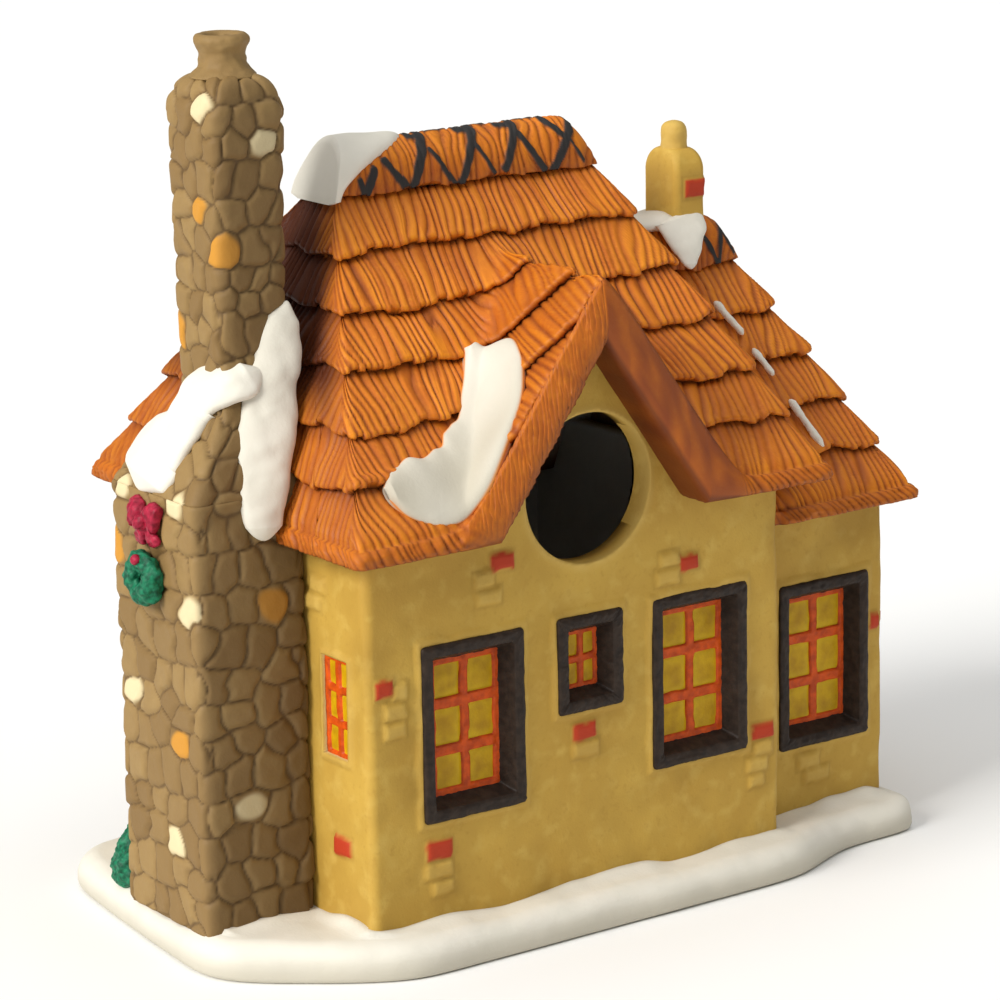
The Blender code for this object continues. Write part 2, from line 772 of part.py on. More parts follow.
def main_hull(name, slack):
    """The main roof's outer shape without its courses, grown by the slack, to trim the wing."""
    low = main_ring(MAIN_SOFFIT, -slack)
    for i, point in enumerate(low):
        low[i] = (point[0], point[1], MAIN_SOFFIT - slack)
    tip = main_ring(MAIN_TIP, -slack)
    ridge = main_ring(MAIN_RIDGE, -slack)
    return add_mesh(name, loft_shape([low, tip, ridge]))


def gable_profile(slack):
    """Half outline of the gable thatch from its peak down, stepped by its courses."""
    peak = FLOOR + GABLE_PEAK + GABLE_THATCH + slack * math.sqrt(1 + GABLE_RISE**2)
    low = MAIN_SOFFIT - slack
    points = [(0, peak)]
    z = peak - COURSE_RISE * 1.2
    while z > low + EAVE_LIP * 1.5:
        half = (peak - z) / GABLE_RISE
        points.append((half, z))
        if slack == 0:
            points.append((half - LEDGE * 0.7, z - LEDGE * 0.2))
        z -= COURSE_RISE
    points.append(((peak - low) / GABLE_RISE, low))
    return points


def gable_prism(slack, start, end):
    """The cross gable's outer prism along y."""
    side = gable_profile(slack)
    right = [(GABLE_CENTRE + w, z) for w, z in side]
    left = [(GABLE_CENTRE - w, z) for w, z in side[:0:-1]]
    outline = right + left
    return loft_shape([[(x, y, z) for x, z in outline] for y in (start, end)])


def chimney_solids(slack):
    """Low and high corners of the chimney's breast and of its stack, grown by the slack."""
    back = -GAP
    left = back - BREAST_PROJECTION
    side = BREAST_WIDTH / 2 + slack
    top = FLOOR + BREAST_HEIGHT
    low = (left - slack, CHIMNEY_Y - side, FLOOR + GAP - slack)
    breast = (low, (back + slack, CHIMNEY_Y + side, top))
    side = STACK_WIDTH / 2 + slack
    low = (left + STACK_INSET - slack, CHIMNEY_Y - side, top + SHOULDER_HEIGHT)
    right = left + STACK_INSET + STACK_LENGTH + slack
    stack = (low, (right, CHIMNEY_Y + side, FLOOR + STACK_TOP))
    return breast, stack


def shoulder_shape(slack):
    breast, stack = chimney_solids(slack)
    (x0, y0, _), (x1, y1, low) = breast
    knee = low + GAP + SHOULDER_KNEE + slack
    (left, near, top), (right, far, _) = stack
    top += slack * 2 - GAP
    rings = [
        oblong(x0, x1, y0, y1, low + GAP - slack * 2, STONE_ROUND, 2),
        oblong(x0, x1, y0, y1, knee, STONE_ROUND, 2),
        oblong(left, max(x1, right), near, far, top, STONE_ROUND, 2),
    ]
    return loft_shape(rings)


def chimney_cutter():
    breast, stack = chimney_solids(GAP)
    cutter = add_mesh("chimney_space", box_shape(*breast))
    join(cutter, add_mesh("shoulder_space", shoulder_shape(GAP)))
    join(cutter, add_mesh("stack_space", box_shape(*stack)))
    return cutter


def make_roofs():
    attic_room = (WALL, MAIN_LENGTH - WALL, MAIN_HALF - WALL)
    attic = attic_cutter("main_attic", main_ring, main_half_at, MAIN_SOFFIT, attic_room, MAIN_CAP)
    start = -MAIN_HALF - EAVE_OVERHANG
    end = -THATCH

    rings = course_rings(main_ring, MAIN_SOFFIT, EAVE_LIP, COURSE_RISE, MAIN_COURSES)
    roof = add_mesh("main_roof", loft_shape(rings), "thatch_glaze")
    cut(roof, attic)
    gable_hull = add_mesh("gable_space", gable_prism(GAP, start - WALL, end + GAP))
    cut(roof, gable_hull)
    chimney_space = chimney_cutter()
    cut(roof, chimney_space)

    gable = add_mesh("gable_roof", gable_prism(0, start, end), "thatch_glaze")
    low = MAIN_SOFFIT - WALL
    cut(gable, gable_triangle(low, 0, MAIN_DEPTH, "gable_room", start - WALL))
    tuck = -GABLE_TUCK - GAP
    cut(gable, gable_triangle(low, tuck, MAIN_DEPTH, "gable_wall_space", -MAIN_HALF - GAP))
    cut(gable, attic)

    wing_room = (MAIN_LENGTH - WALL * 2, WING_END - WALL, WING_HALF - WALL)
    wing_attic = attic_cutter("wing_attic", wing_ring, wing_half_at, WING_SOFFIT, wing_room, WING_CAP)
    rings = course_rings(wing_ring, WING_SOFFIT, WING_LIP, WING_COURSE_RISE, WING_COURSES)
    wing = add_mesh("wing_roof", loft_shape(rings), "thatch_glaze")
    cut(wing, wing_attic)
    hull = main_hull("main_roof_space", GAP)
    cut(wing, hull)
    beside = box_shape((-MAIN_LENGTH, -MAIN_DEPTH, 0), (WING_START, MAIN_DEPTH, MAIN_SOFFIT))
    cut(wing, add_mesh("main_block_space", beside))

    cap = cap_rings(main_ring, main_half_at, MAIN_CAP + GAP, MAIN_RIDGE)
    add_mesh("main_ridge_cap", loft_shape(cap), "ridge_thatch")
    cap = cap_rings(wing_ring, wing_half_at, WING_CAP + GAP, WING_RIDGE)
    wing_cap = add_mesh("wing_ridge_cap", loft_shape(cap), "ridge_thatch")
    cut(wing_cap, hull)
    return hull, gable_hull, chimney_space


# Stone chimney


def make_chimney():
    breast, stack = chimney_solids(0)
    body = add_mesh("chimney_breast", box_shape(*breast), "fieldstone")
    soften(body, STONE_ROUND, 2)
    add_mesh("chimney_shoulder", shoulder_shape(0), "fieldstone")
    (x0, y0, z0), (x1, y1, z1) = stack
    rings = [oblong(x0, x1, y0, y1, z, STONE_ROUND, 2) for z in (z0, z1 - STACK_ROUND)]
    for step in (1, 2, 3):
        angle = math.radians(30 * step)
        inset = STACK_ROUND * (1 - math.cos(angle)) * 0.8
        z = z1 - STACK_ROUND * (1 - math.sin(angle))
        rings.append(oblong(x0 + inset, x1 - inset, y0 + inset, y1 - inset, z, STONE_ROUND, 2))
    add_mesh("chimney_stack", loft_shape(rings), "fieldstone", 50)

    pot = turned(
        "chimney_pot",
        [
            (0, 0),
            (POT_NECK, 0),
            (POT_NECK, POT_HEIGHT * 0.45),
            (POT_RADIUS, POT_HEIGHT * 0.62),
            (POT_RADIUS, POT_HEIGHT * 0.92),
            (POT_RADIUS * 0.9, POT_HEIGHT),
            (POT_BORE, POT_HEIGHT),
            (POT_BORE, POT_HEIGHT * 0.5),
            (0, POT_HEIGHT * 0.5),
        ],
        "fieldstone",
        20,
    )
    place(pot, ((x0 + x1) / 2, (y0 + y1) / 2, z1 + GAP))


def turned(name, profile, material, steps):
    """A turned shape: the profile's radii and heights, spun about its own axis."""
    mesh = bpy.data.meshes.new(name)
    points = [(radius, 0, z) for radius, z in profile]
    mesh.from_pydata(points, [(i, i + 1) for i in range(len(points) - 1)], [])
    item = bpy.data.objects.new(name, mesh)
    item.parent = ORIGIN
    mesh.materials.append(clay(material))
    PARTS.objects.link(item)
    screw = item.modifiers.new("turn", "SCREW")
    screw.steps = steps
    screw.render_steps = steps
    screw.use_merge_vertices = True
    screw.merge_threshold = 0.00001
    screw.use_normal_flip = True
    screw.use_smooth_shade = True
    return item


def make_small_chimney():
    x = SMALL_STACK_LENGTH / 2
    y = SMALL_STACK_WIDTH / 2
    top = FLOOR + SMALL_STACK_TOP
    rings = []
    for share_x, share_y, z in (
        (1, 1, WING_RIDGE + GAP),
        (1, 1, top - y * 0.55),
        (0.84, 0.85, top - y * 0.2),
        (0.63, 0.62, top),
    ):
        x0 = SMALL_STACK_X - x * share_x
        x1 = SMALL_STACK_X + x * share_x
        rings.append(oblong(x0, x1, -y * share_y, y * share_y, z, SMALL_STACK_ROUND, 2))
    add_mesh("small_chimney", loft_shape(rings), "bisque_cream", 50)
    knob = turned(
        "small_chimney_pot",
        [
            (0, 0),
            (SMALL_KNOB_RADIUS * 0.85, 0),
            (SMALL_KNOB_RADIUS * 0.8, SMALL_KNOB_HEIGHT * 0.35),
            (SMALL_KNOB_RADIUS, SMALL_KNOB_HEIGHT * 0.6),
            (SMALL_KNOB_RADIUS * 0.8, SMALL_KNOB_HEIGHT * 0.88),
            (SMALL_KNOB_RADIUS * 0.4, SMALL_KNOB_HEIGHT),
            (0, SMALL_KNOB_HEIGHT),
        ],
        "bisque_cream",
        16,
    )
    place(knob, (SMALL_STACK_X, 0, top + GAP))


# Snow on the roofs


def snow_band(name, stations, normal, cutters=(), slack=0):
    """A band of snow: oval sections across a path, cut by what it lies on. Each station is a
    point of the path and the band's width there. With a slack it is the space for the band."""
    up = Vector(normal).normalized()
    points = [Vector(point) for point, _ in stations]
    rings = []
    for i, (_, width) in enumerate(stations):
        ahead = points[min(i + 1, len(points) - 1)] - points[max(i - 1, 0)]
        across = up.cross(ahead).normalized()
        lift = ahead.cross(across).normalized()
        thick = min(SNOW_THICK, width / 2) + slack
        ring = []
        for step in range(12):
            angle = 2 * math.pi * step / 12
            offset = across * math.cos(angle) * (width / 2 + slack) + lift * math.sin(angle) * thick
            ring.append(points[i] + offset)
        rings.append(ring)
    if slack:
        return add_mesh(name, loft_shape(rings))
    snow = add_mesh(name, loft_shape(rings), "snow_white", 60)
    for cutter in cutters:
        cut(snow, cutter)
    return snow


def thatch_height(x, y):
    """The height of the thatch over a place: the main roof's lowest plane, or the cross gable."""
    slope = (MAIN_HALF + EAVE_OVERHANG - abs(y)) * ROOF_RISE
    hip = min(x + END_OVERHANG, MAIN_LENGTH + END_OVERHANG - x) / HIP_RUN
    gable = FLOOR + GABLE_PEAK + GABLE_THATCH - abs(x - GABLE_CENTRE) * GABLE_RISE
    return max(MAIN_TIP + min(slope, hip), gable)


def make_snow(hull, gable_hull, chimney_space):
    step = SNOW_STEP
    stations = []
    for across, inward, width in GABLE_SNOW:
        x = GABLE_CENTRE + across * step
        y = -MAIN_HALF - EAVE_OVERHANG + inward * step
        stations.append(((x, y, thatch_height(x, y)), width * step))
    snow_band("gable_snow", stations, (-1, -1, 1), [hull, gable_hull])

    breast, stack = chimney_solids(0)
    top = breast[1][2]
    stations = []
    for x, y, z, width in VERGE_SNOW:
        point = (stack[1][0] + x * step, stack[0][1] - y * step, top + z * step)
        stations.append((point, width * step))
    facing = (0, -1, 0.2)
    snow_band("verge_snow", stations, facing, [hull, chimney_space])
    verge_space = snow_band("verge_snow_space", stations, facing, slack=GAP)

    stations = []
    for x, y, z, width in SHOULDER_SNOW:
        point = (stack[0][0] - x * step, stack[0][1] + y * step, top + z * step)
        stations.append((point, width * step))
    snow_band("shoulder_snow", stations, (-1, -0.5, 0.4), [chimney_space, hull, verge_space])

    # A cap of snow over the chimney end of the main ridge, longer at its top
    rings = []
    levels = cap_levels(main_half_at, MAIN_CAP, MAIN_RIDGE)[1:]
    for i, (z, inset) in enumerate(levels):
        share = i / (len(levels) - 1)
        left = main_hip_at(z) + inset - RIDGE_SNOW_THICK
        wide = main_half_at(z) - inset + RIDGE_SNOW_THICK
        length = RIDGE_SNOW_LENGTH * (0.35 + 0.65 * share)
        radius = min(wide, length / 2) * 0.85
        rings.append(oblong(left, left + length, -wide, wide, z + RIDGE_SNOW_THICK * share, radius, 3))
    ridge = add_mesh("ridge_snow", loft_shape(rings), "snow_white", 60)
    cap = cap_rings(main_ring_grown, main_half_at, MAIN_CAP - GAP, MAIN_RIDGE + GAP)
    cut(ridge, add_mesh("ridge_cap_space", loft_shape(cap)))

    # The drift between the main roof and the small chimney, on the wing's ridge
    stack_side = SMALL_STACK_X - SMALL_STACK_LENGTH / 2 - GAP
    rings = []
    for share, z in (
        (0.5, WING_RIDGE + GAP),
        (0.42, WING_RIDGE + SNOW_THICK),
        (0.2, WING_RIDGE + SNOW_THICK * 1.8),
    ):
        side = share * SMALL_STACK_WIDTH
        rings.append(oblong(MAIN_LENGTH / 2, stack_side, -side, side, z, SMALL_STACK_ROUND, 2))
    drift = add_mesh("small_chimney_snow", loft_shape(rings), "snow_white", 60)
    cut(drift, hull)


def main_ring_grown(z, inset):
    return main_ring(z, inset - GAP)


# Wreath, bow, berry and shrub


BOW_SECTION = [
    (0.5, -1),
    (1, -0.4),
    (1, 0.4),
    (0.5, 1),
    (-0.5, 1),
    (-1, 0.4),
    (-1, -0.4),
    (-0.5, -1),
]


def make_trim():
    face = -GAP - BREAST_PROJECTION
    wreath_z = FLOOR + BREAST_HEIGHT - WREATH_DROP
    centre = Vector((face - WREATH_TUBE - GAP, CHIMNEY_Y, wreath_z))
    ring = []
    turns = 20
    shape = bmesh.new()
    for i in range(turns):
        angle = 2 * math.pi * i / turns
        radial = Vector((0, math.cos(angle), math.sin(angle)))
        loop = []
        for j in range(8):
            around = 2 * math.pi * j / 8
            out = radial * (WREATH_RADIUS + WREATH_TUBE * math.cos(around))
            loop.append(shape.verts.new(centre + out + Vector((WREATH_TUBE * math.sin(around), 0, 0))))
        ring.append(loop)
    for i in range(turns):
        for j in range(8):
            a, b = ring[i], ring[(i + 1) % turns]
            k = (j + 1) % 8
            shape.faces.new((a[j], b[j], b[k], a[k]))
    add_mesh("chimney_wreath", shape, "wreath_green", 70)

    # Two loops and a knot, lofted along the bow's width
    rings = []
    for u, tall, deep in (
        (-1, 0.5, 0.6),
        (-0.75, 1, 1),
        (-0.2, 0.45, 0.7),
        (0, 0.5, 0.9),
        (0.2, 0.45, 0.7),
        (0.75, 1, 1),
        (1, 0.5, 0.6),
    ):
        half = BOW_HEIGHT / 2 * tall
        thick = WREATH_TUBE * deep
        rings.append([(x * thick, u * BOW_LENGTH / 2, z * half) for x, z in BOW_SECTION])
    bow = add_mesh("chimney_bow", loft_shape(rings), "bow_red", 70)
    bow_z = centre.z + WREATH_RADIUS + WREATH_TUBE + GAP + BOW_HEIGHT / 2
    place(bow, (face - WREATH_TUBE - GAP, CHIMNEY_Y, bow_z))

    berry = bmesh.new()
    bmesh.ops.create_uvsphere(berry, u_segments=10, v_segments=8, radius=BERRY_RADIUS)
    seed = add_mesh("wreath_berry", berry, "bow_red", 70)
    place(seed, (centre.x - WREATH_TUBE - BERRY_RADIUS - GAP, CHIMNEY_Y, centre.z + WREATH_RADIUS))

    profile = [
        (0, 0),
        (SHRUB_RADIUS * 0.75, 0),
        (SHRUB_RADIUS, SHRUB_HEIGHT * 0.22),
        (SHRUB_RADIUS * 0.6, SHRUB_HEIGHT * 0.42),
        (SHRUB_RADIUS * 0.72, SHRUB_HEIGHT * 0.55),
        (SHRUB_RADIUS * 0.3, SHRUB_HEIGHT * 0.8),
        (0, SHRUB_HEIGHT),
    ]
    shrub = turned("chimney_shrub", profile, "wreath_green", 14)
    x = -BREAST_PROJECTION * 0.68
    y = CHIMNEY_Y + BREAST_WIDTH / 2 + SHRUB_RADIUS + GAP
    place(shrub, (x, y, FLOOR + GAP))


make_base()
make_back_wall()
make_front_wall()
make_end_walls()
make_wing_walls()
for spec in window_specs():
    make_window(*spec)
make_door()
make_snow(*make_roofs())
make_chimney()
make_small_chimney()
make_trim()
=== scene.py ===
"""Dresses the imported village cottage: sculpted, hand-painted bisque surfaces around the fixed CAD.

All shapes are worked out in millimetres in the CAD's own frame and turned to metres when they
become meshes. Faces are grids of numpy arrays, and each function says its formula in words.
"""

import math

import bpy
import numpy as np
from mathutils import Matrix, Vector


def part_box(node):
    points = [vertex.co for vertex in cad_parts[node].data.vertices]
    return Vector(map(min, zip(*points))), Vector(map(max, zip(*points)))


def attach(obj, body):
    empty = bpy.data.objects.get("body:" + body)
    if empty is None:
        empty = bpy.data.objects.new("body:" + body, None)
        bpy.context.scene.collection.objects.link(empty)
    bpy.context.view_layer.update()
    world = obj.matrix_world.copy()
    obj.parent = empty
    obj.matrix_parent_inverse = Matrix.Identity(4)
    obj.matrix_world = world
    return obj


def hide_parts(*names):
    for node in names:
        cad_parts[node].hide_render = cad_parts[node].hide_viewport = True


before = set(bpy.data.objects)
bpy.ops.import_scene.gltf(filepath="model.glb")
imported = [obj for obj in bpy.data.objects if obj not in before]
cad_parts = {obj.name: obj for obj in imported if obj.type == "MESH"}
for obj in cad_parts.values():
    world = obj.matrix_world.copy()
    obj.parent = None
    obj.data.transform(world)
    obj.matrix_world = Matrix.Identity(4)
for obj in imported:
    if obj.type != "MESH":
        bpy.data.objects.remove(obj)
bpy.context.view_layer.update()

MM = 0.001
TAU = 2 * math.pi


def span(node):
    """A CAD node's lowest and highest corner, in millimetres."""
    low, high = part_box(node)
    return np.array(low) / MM, np.array(high) / MM


# Camera and light


# The photograph's viewpoint, worked out from the house's level and upright edges. Target and
# distance are in millimetres, and the focus is in pixels of a picture IMAGE_SIDE pixels wide.
VIEW_TURN = math.radians(35.12)
VIEW_DROP = math.radians(13.91)
VIEW_ROLL = math.radians(-1.13)
VIEW_TARGET = (-2.8, -10.0, 77.7)
VIEW_DISTANCE = 759.0
VIEW_FOCUS = 3871.0
IMAGE_SIDE = 1000
SENSOR = 36.0


def make_camera():
    """The photograph's viewpoint: it looks along a line turned from +Y and dropped below the level."""
    ahead = Vector(
        (
            math.sin(VIEW_TURN) * math.cos(VIEW_DROP),
            math.cos(VIEW_TURN) * math.cos(VIEW_DROP),
            -math.sin(VIEW_DROP),
        )
    )
    level = Vector((math.cos(VIEW_TURN), -math.sin(VIEW_TURN), 0))
    up = level.cross(ahead)
    right = level * math.cos(VIEW_ROLL) + up * math.sin(VIEW_ROLL)
    top = up * math.cos(VIEW_ROLL) - level * math.sin(VIEW_ROLL)
    lens = bpy.data.cameras.new("camera")
    lens.sensor_width = SENSOR
    lens.lens = VIEW_FOCUS * SENSOR / IMAGE_SIDE
    lens.clip_start = 0.01
    lens.clip_end = 20
    camera = bpy.data.objects.new("camera", lens)
    turn = Matrix((right, top, -ahead)).transposed().to_4x4()
    place = (Vector(VIEW_TARGET) - ahead * VIEW_DISTANCE) * MM
    camera.matrix_world = Matrix.Translation(place) @ turn
    bpy.context.scene.collection.objects.link(camera)
    bpy.context.scene.camera = camera


def add_light(name, toward, spread, strength, tint):
    """A far, broad studio light: its rays run along a line, spread over some degrees."""
    light = bpy.data.lights.new(name, "SUN")
    light.angle = math.radians(spread)
    light.energy = strength
    light.color = tint
    item = bpy.data.objects.new(name, light)
    item.rotation_euler = Vector(toward).to_track_quat("-Z", "Y").to_euler()
    bpy.context.scene.collection.objects.link(item)


def make_light():
    """A dim white room, a broad key from the chimney's end and a very broad one from above."""
    world = bpy.data.worlds.new("soft_white_room")
    world.use_nodes = True
    background = world.node_tree.nodes["Background"]
    background.inputs["Color"].default_value = (1, 1, 1, 1)
    background.inputs["Strength"].default_value = 0.27
    bpy.context.scene.world = world
    bpy.context.scene.view_settings.view_transform = "Standard"
    add_light("key_light", (0.9, 0.09, -0.5), 28, 3.15, (1.0, 0.985, 0.96))
    add_light("top_light", (0.05, 0.12, -1), 75, 1.3, (1, 1, 1))


make_camera()
make_light()


# Numbers that vary over a surface


def smooth_step(low, high, value):
    """0 below low, 1 above high, and an S curve between them."""
    share = np.clip((value - low) / (high - low), 0, 1)
    return share * share * (3 - 2 * share)


def hashed(seed, *counts):
    """A fixed number from 0 to 1 for each set of whole numbers: each is multiplied by its own odd
    constant and folded in, and the bits are mixed by shifts and multiplications."""
    state = np.full(np.broadcast(*counts).shape, np.uint32(seed * 747796405 % 2**32))
    for odd, count in zip((2654435761, 2246822519, 3266489917), counts):
        word = np.asarray(np.floor(count), np.int64).astype(np.uint32)
        state = (state ^ word * np.uint32(odd)) * np.uint32(668265263)
        state = state ^ state >> np.uint32(15)
    state = state * np.uint32(2246822519)
    state = state ^ state >> np.uint32(13)
    return state / 2.0**32


def own(seed, number):
    """A fixed number from 0 to 1 for each straw or stone, by its number."""
    return hashed(seed, number, 0 * number)


def ripple(seed, x, y, size=1.0):
    """Smooth noise from -1 to 1: hashed corner values of a lattice, mixed by S curves."""
    x = np.asarray(x, float) / size
    y = np.asarray(y, float) / size
    i, j = np.floor(x), np.floor(y)
    u, v = x - i, y - j
    u = u * u * (3 - 2 * u)
    v = v * v * (3 - 2 * v)
    near = hashed(seed, i, j) * (1 - u) + hashed(seed, i + 1, j) * u
    far = hashed(seed, i, j + 1) * (1 - u) + hashed(seed, i + 1, j + 1) * u
    return (near * (1 - v) + far * v) * 2 - 1


def lumps(seed, points, size):
    """Smooth noise in space: the mean of three flat ripples, one across each axis."""
    x, y, z = points[..., 0], points[..., 1], points[..., 2]
    a = ripple(seed, x + 0.37 * z, y + 0.21 * z, size)
    b = ripple(seed + 1, y + 0.29 * x, z - 0.33 * x, size)
    c = ripple(seed + 2, z + 0.41 * y, x - 0.27 * y, size)
    return (a + b + c) / 3


def through(points, count):
    """A smooth line through points, as many places as asked: between each two points a cubic that
    leaves and arrives in the direction of its neighbours."""
    points = np.asarray(points, float)
    padded = np.vstack([2 * points[0] - points[1], points, 2 * points[-1] - points[-2]])
    along = np.linspace(0, len(points) - 1, count)
    i = np.minimum(along.astype(int), len(points) - 2)
    t = (along - i)[:, None]
    before, start, end, after = padded[i], padded[i + 1], padded[i + 2], padded[i + 3]
    return start + 0.5 * t * (
        end
        - before
        + t * (2 * before - 5 * start + 4 * end - after + t * (3 * (start - end) + after - before))
    )


def unit(vectors):
    """The same directions with a length of 1."""
    return vectors / np.maximum(np.linalg.norm(vectors, axis=-1, keepdims=True), 1e-9)


def walked(steps):
    """How far one has come at the start and after each step."""
    return np.concatenate([[0], np.cumsum(steps)])


def rounded_ends(share, sharp):
    """1 along a piece and 0 at both its ends: the square root of a sine, cut off at 1."""
    return np.clip(np.sin(math.pi * share) * sharp, 0, 1) ** 0.5


def normals(points, round_columns=False):
    """Unit normals of a grid of points: the cross product of its slopes along columns and rows.
    Round columns come back to the first one."""
    columns = points
    if round_columns:
        columns = np.concatenate([points[:, -1:], points, points[:, :1]], 1)
    by_column = np.gradient(columns, axis=1)
    if round_columns:
        by_column = by_column[:, 1:-1]
    return unit(np.cross(by_column, np.gradient(points, axis=0)))


# Meshes from grids


def enclosed(points, quads):
    """The volume that the faces enclose, below zero where they face in: the sum of each face's
    triangles' box products with the middle of the piece."""
    a, b, c, d = [points[quads[:, k]] - points.mean(0) for k in range(4)]
    return np.sum(a * np.cross(b, c)) + np.sum(a * np.cross(c, d))


def build_mesh(name, points, quads, ends, material, nodes, paint):
    """Puts points in millimetres, four-sided faces and flat end faces into one mesh. Paint is a set
    of named numbers for each point, which the materials read."""
    mesh = bpy.data.meshes.new(name)
    flat = np.ascontiguousarray(points.reshape(-1, 3) * MM, np.float32)
    if enclosed(flat, quads) < 0:
        quads = quads[:, ::-1]
        ends = [end[::-1] for end in ends]
    corners = np.concatenate([quads.ravel()] + [np.asarray(end) for end in ends])
    sizes = np.concatenate([np.full(len(quads), 4), [len(end) for end in ends]]).astype(np.int32)
    mesh.vertices.add(len(flat))
    mesh.vertices.foreach_set("co", flat.ravel())
    mesh.loops.add(len(corners))
    mesh.loops.foreach_set("vertex_index", corners.astype(np.int32))
    mesh.polygons.add(len(sizes))
    starts = np.concatenate([[0], np.cumsum(sizes)[:-1]]).astype(np.int32)
    mesh.polygons.foreach_set("loop_start", starts)
    mesh.update(calc_edges=True)
    # The skin is smooth, and the flat end faces are not, so that they don't shade its edge
    mesh.polygons.foreach_set("use_smooth", np.arange(len(sizes)) < len(quads))
    for key, value in (paint or {}).items():
        spread = np.broadcast_to(value, points.shape[:-1]).ravel().astype(np.float32)
        mesh.attributes.new(key, "FLOAT", "POINT").data.foreach_set("value", spread)
    mesh.materials.append(material)
    piece = bpy.data.objects.new(name, mesh)
    bpy.context.scene.collection.objects.link(piece)
    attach(piece, "root")
    if nodes:
        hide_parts(*nodes)
    return piece


def grid_quads(rows, columns, wrap_rows=False, wrap_columns=False, keep=None):
    """Corner numbers of the faces of a grid of points, wrapped round where asked."""
    count_rows = rows if wrap_rows else rows - 1
    count_columns = columns if wrap_columns else columns - 1
    i, j = np.meshgrid(np.arange(count_rows), np.arange(count_columns), indexing="ij")
    if keep is not None:
        i, j = i[keep], j[keep]
    up, right = (i + 1) % rows, (j + 1) % columns
    quads = [i * columns + j, i * columns + right, up * columns + right, up * columns + j]
    return np.stack(quads, -1).reshape(-1, 4)


def tube(name, points, slot, material, nodes=(), paint=None, closed=False):
    """A closed skin over rows of points, each row one loop. The first and last loops get a flat
    face, or are joined to each other where the tube closes on itself."""
    rows, columns = points.shape[:2]
    quads = grid_quads(rows, columns, closed, True)
    ends = []
    if not closed:
        ends = [np.arange(columns)[::-1], (rows - 1) * columns + np.arange(columns)]
    return build_mesh(name, points, quads, ends, material, nodes, paint)


def shell(name, outer, inner, keep, slot, material, nodes=(), paint=None, bare=1.0):
    """A sheet of wall with openings: an outer and an inner grid of points, faces where keep says,
    or everywhere, and a strip between the two along each edge of what is kept. Bare tells how far
    the inner grid is left unstained."""
    rows, columns = outer.shape[:2]
    count = rows * columns
    if keep is None:
        keep = np.ones((rows - 1, columns - 1), bool)
    front = grid_quads(rows, columns, keep=keep)
    faces = [front, front[:, ::-1] + count]
    # An edge runs where a face is kept and the one below, above, before or after it is not
    no_row, no_column = np.zeros((1, columns - 1), bool), np.zeros((rows - 1, 1), bool)
    below, above = np.vstack([no_row, keep]), np.vstack([keep, no_row])
    before, after = np.hstack([no_column, keep]), np.hstack([keep, no_column])
    for without, kept, step, backward in (
        (below, above, 1, True),
        (above, below, 1, False),
        (before, after, columns, False),
        (after, before, columns, True),
    ):
        i, j = np.nonzero(~without & kept)
        a = i * columns + j
        b = a + step
        if backward:
            a, b = b, a
        faces.append(np.stack([a, b, b + count, a + count], -1))
    quads = np.vstack(faces)
    used, where = np.unique(quads, return_inverse=True)
    both = np.concatenate([outer.reshape(-1, 3), inner.reshape(-1, 3)])[used]
    spread = {}
    for key, value in (paint or {}).items():
        plane = np.broadcast_to(value, outer.shape[:2]).ravel()
        spread[key] = np.concatenate([plane, plane * 0])[used]
    if paint:
        unstained = np.broadcast_to(bare, outer.shape[:2]).ravel()
        spread["inside"] = np.concatenate([unstained * 0, unstained])[used]
    quads = where.reshape(-1, 4)
    return build_mesh(name, both, quads, [], material, nodes, spread)


# Materials


def linear(code):
    """An sRGB hex colour as linear red, green, blue and 1."""
    parts = [int(code[i : i + 2], 16) / 255 for i in (1, 3, 5)]
    return (*[c / 12.92 if c <= 0.04045 else ((c + 0.055) / 1.055) ** 2.4 for c in parts], 1)


def add(tree, kind, settings=None, links=()):
    """Adds a node with its settings, by attribute or by socket, and the links into it."""
    node = tree.nodes.new(kind)
    for key, value in (settings or {}).items():
        if isinstance(key, str) and hasattr(node, key):
            setattr(node, key, value)
        else:
            node.inputs[key].default_value = value
    for socket, source in links:
        tree.links.new(source, node.inputs[socket])
    return node


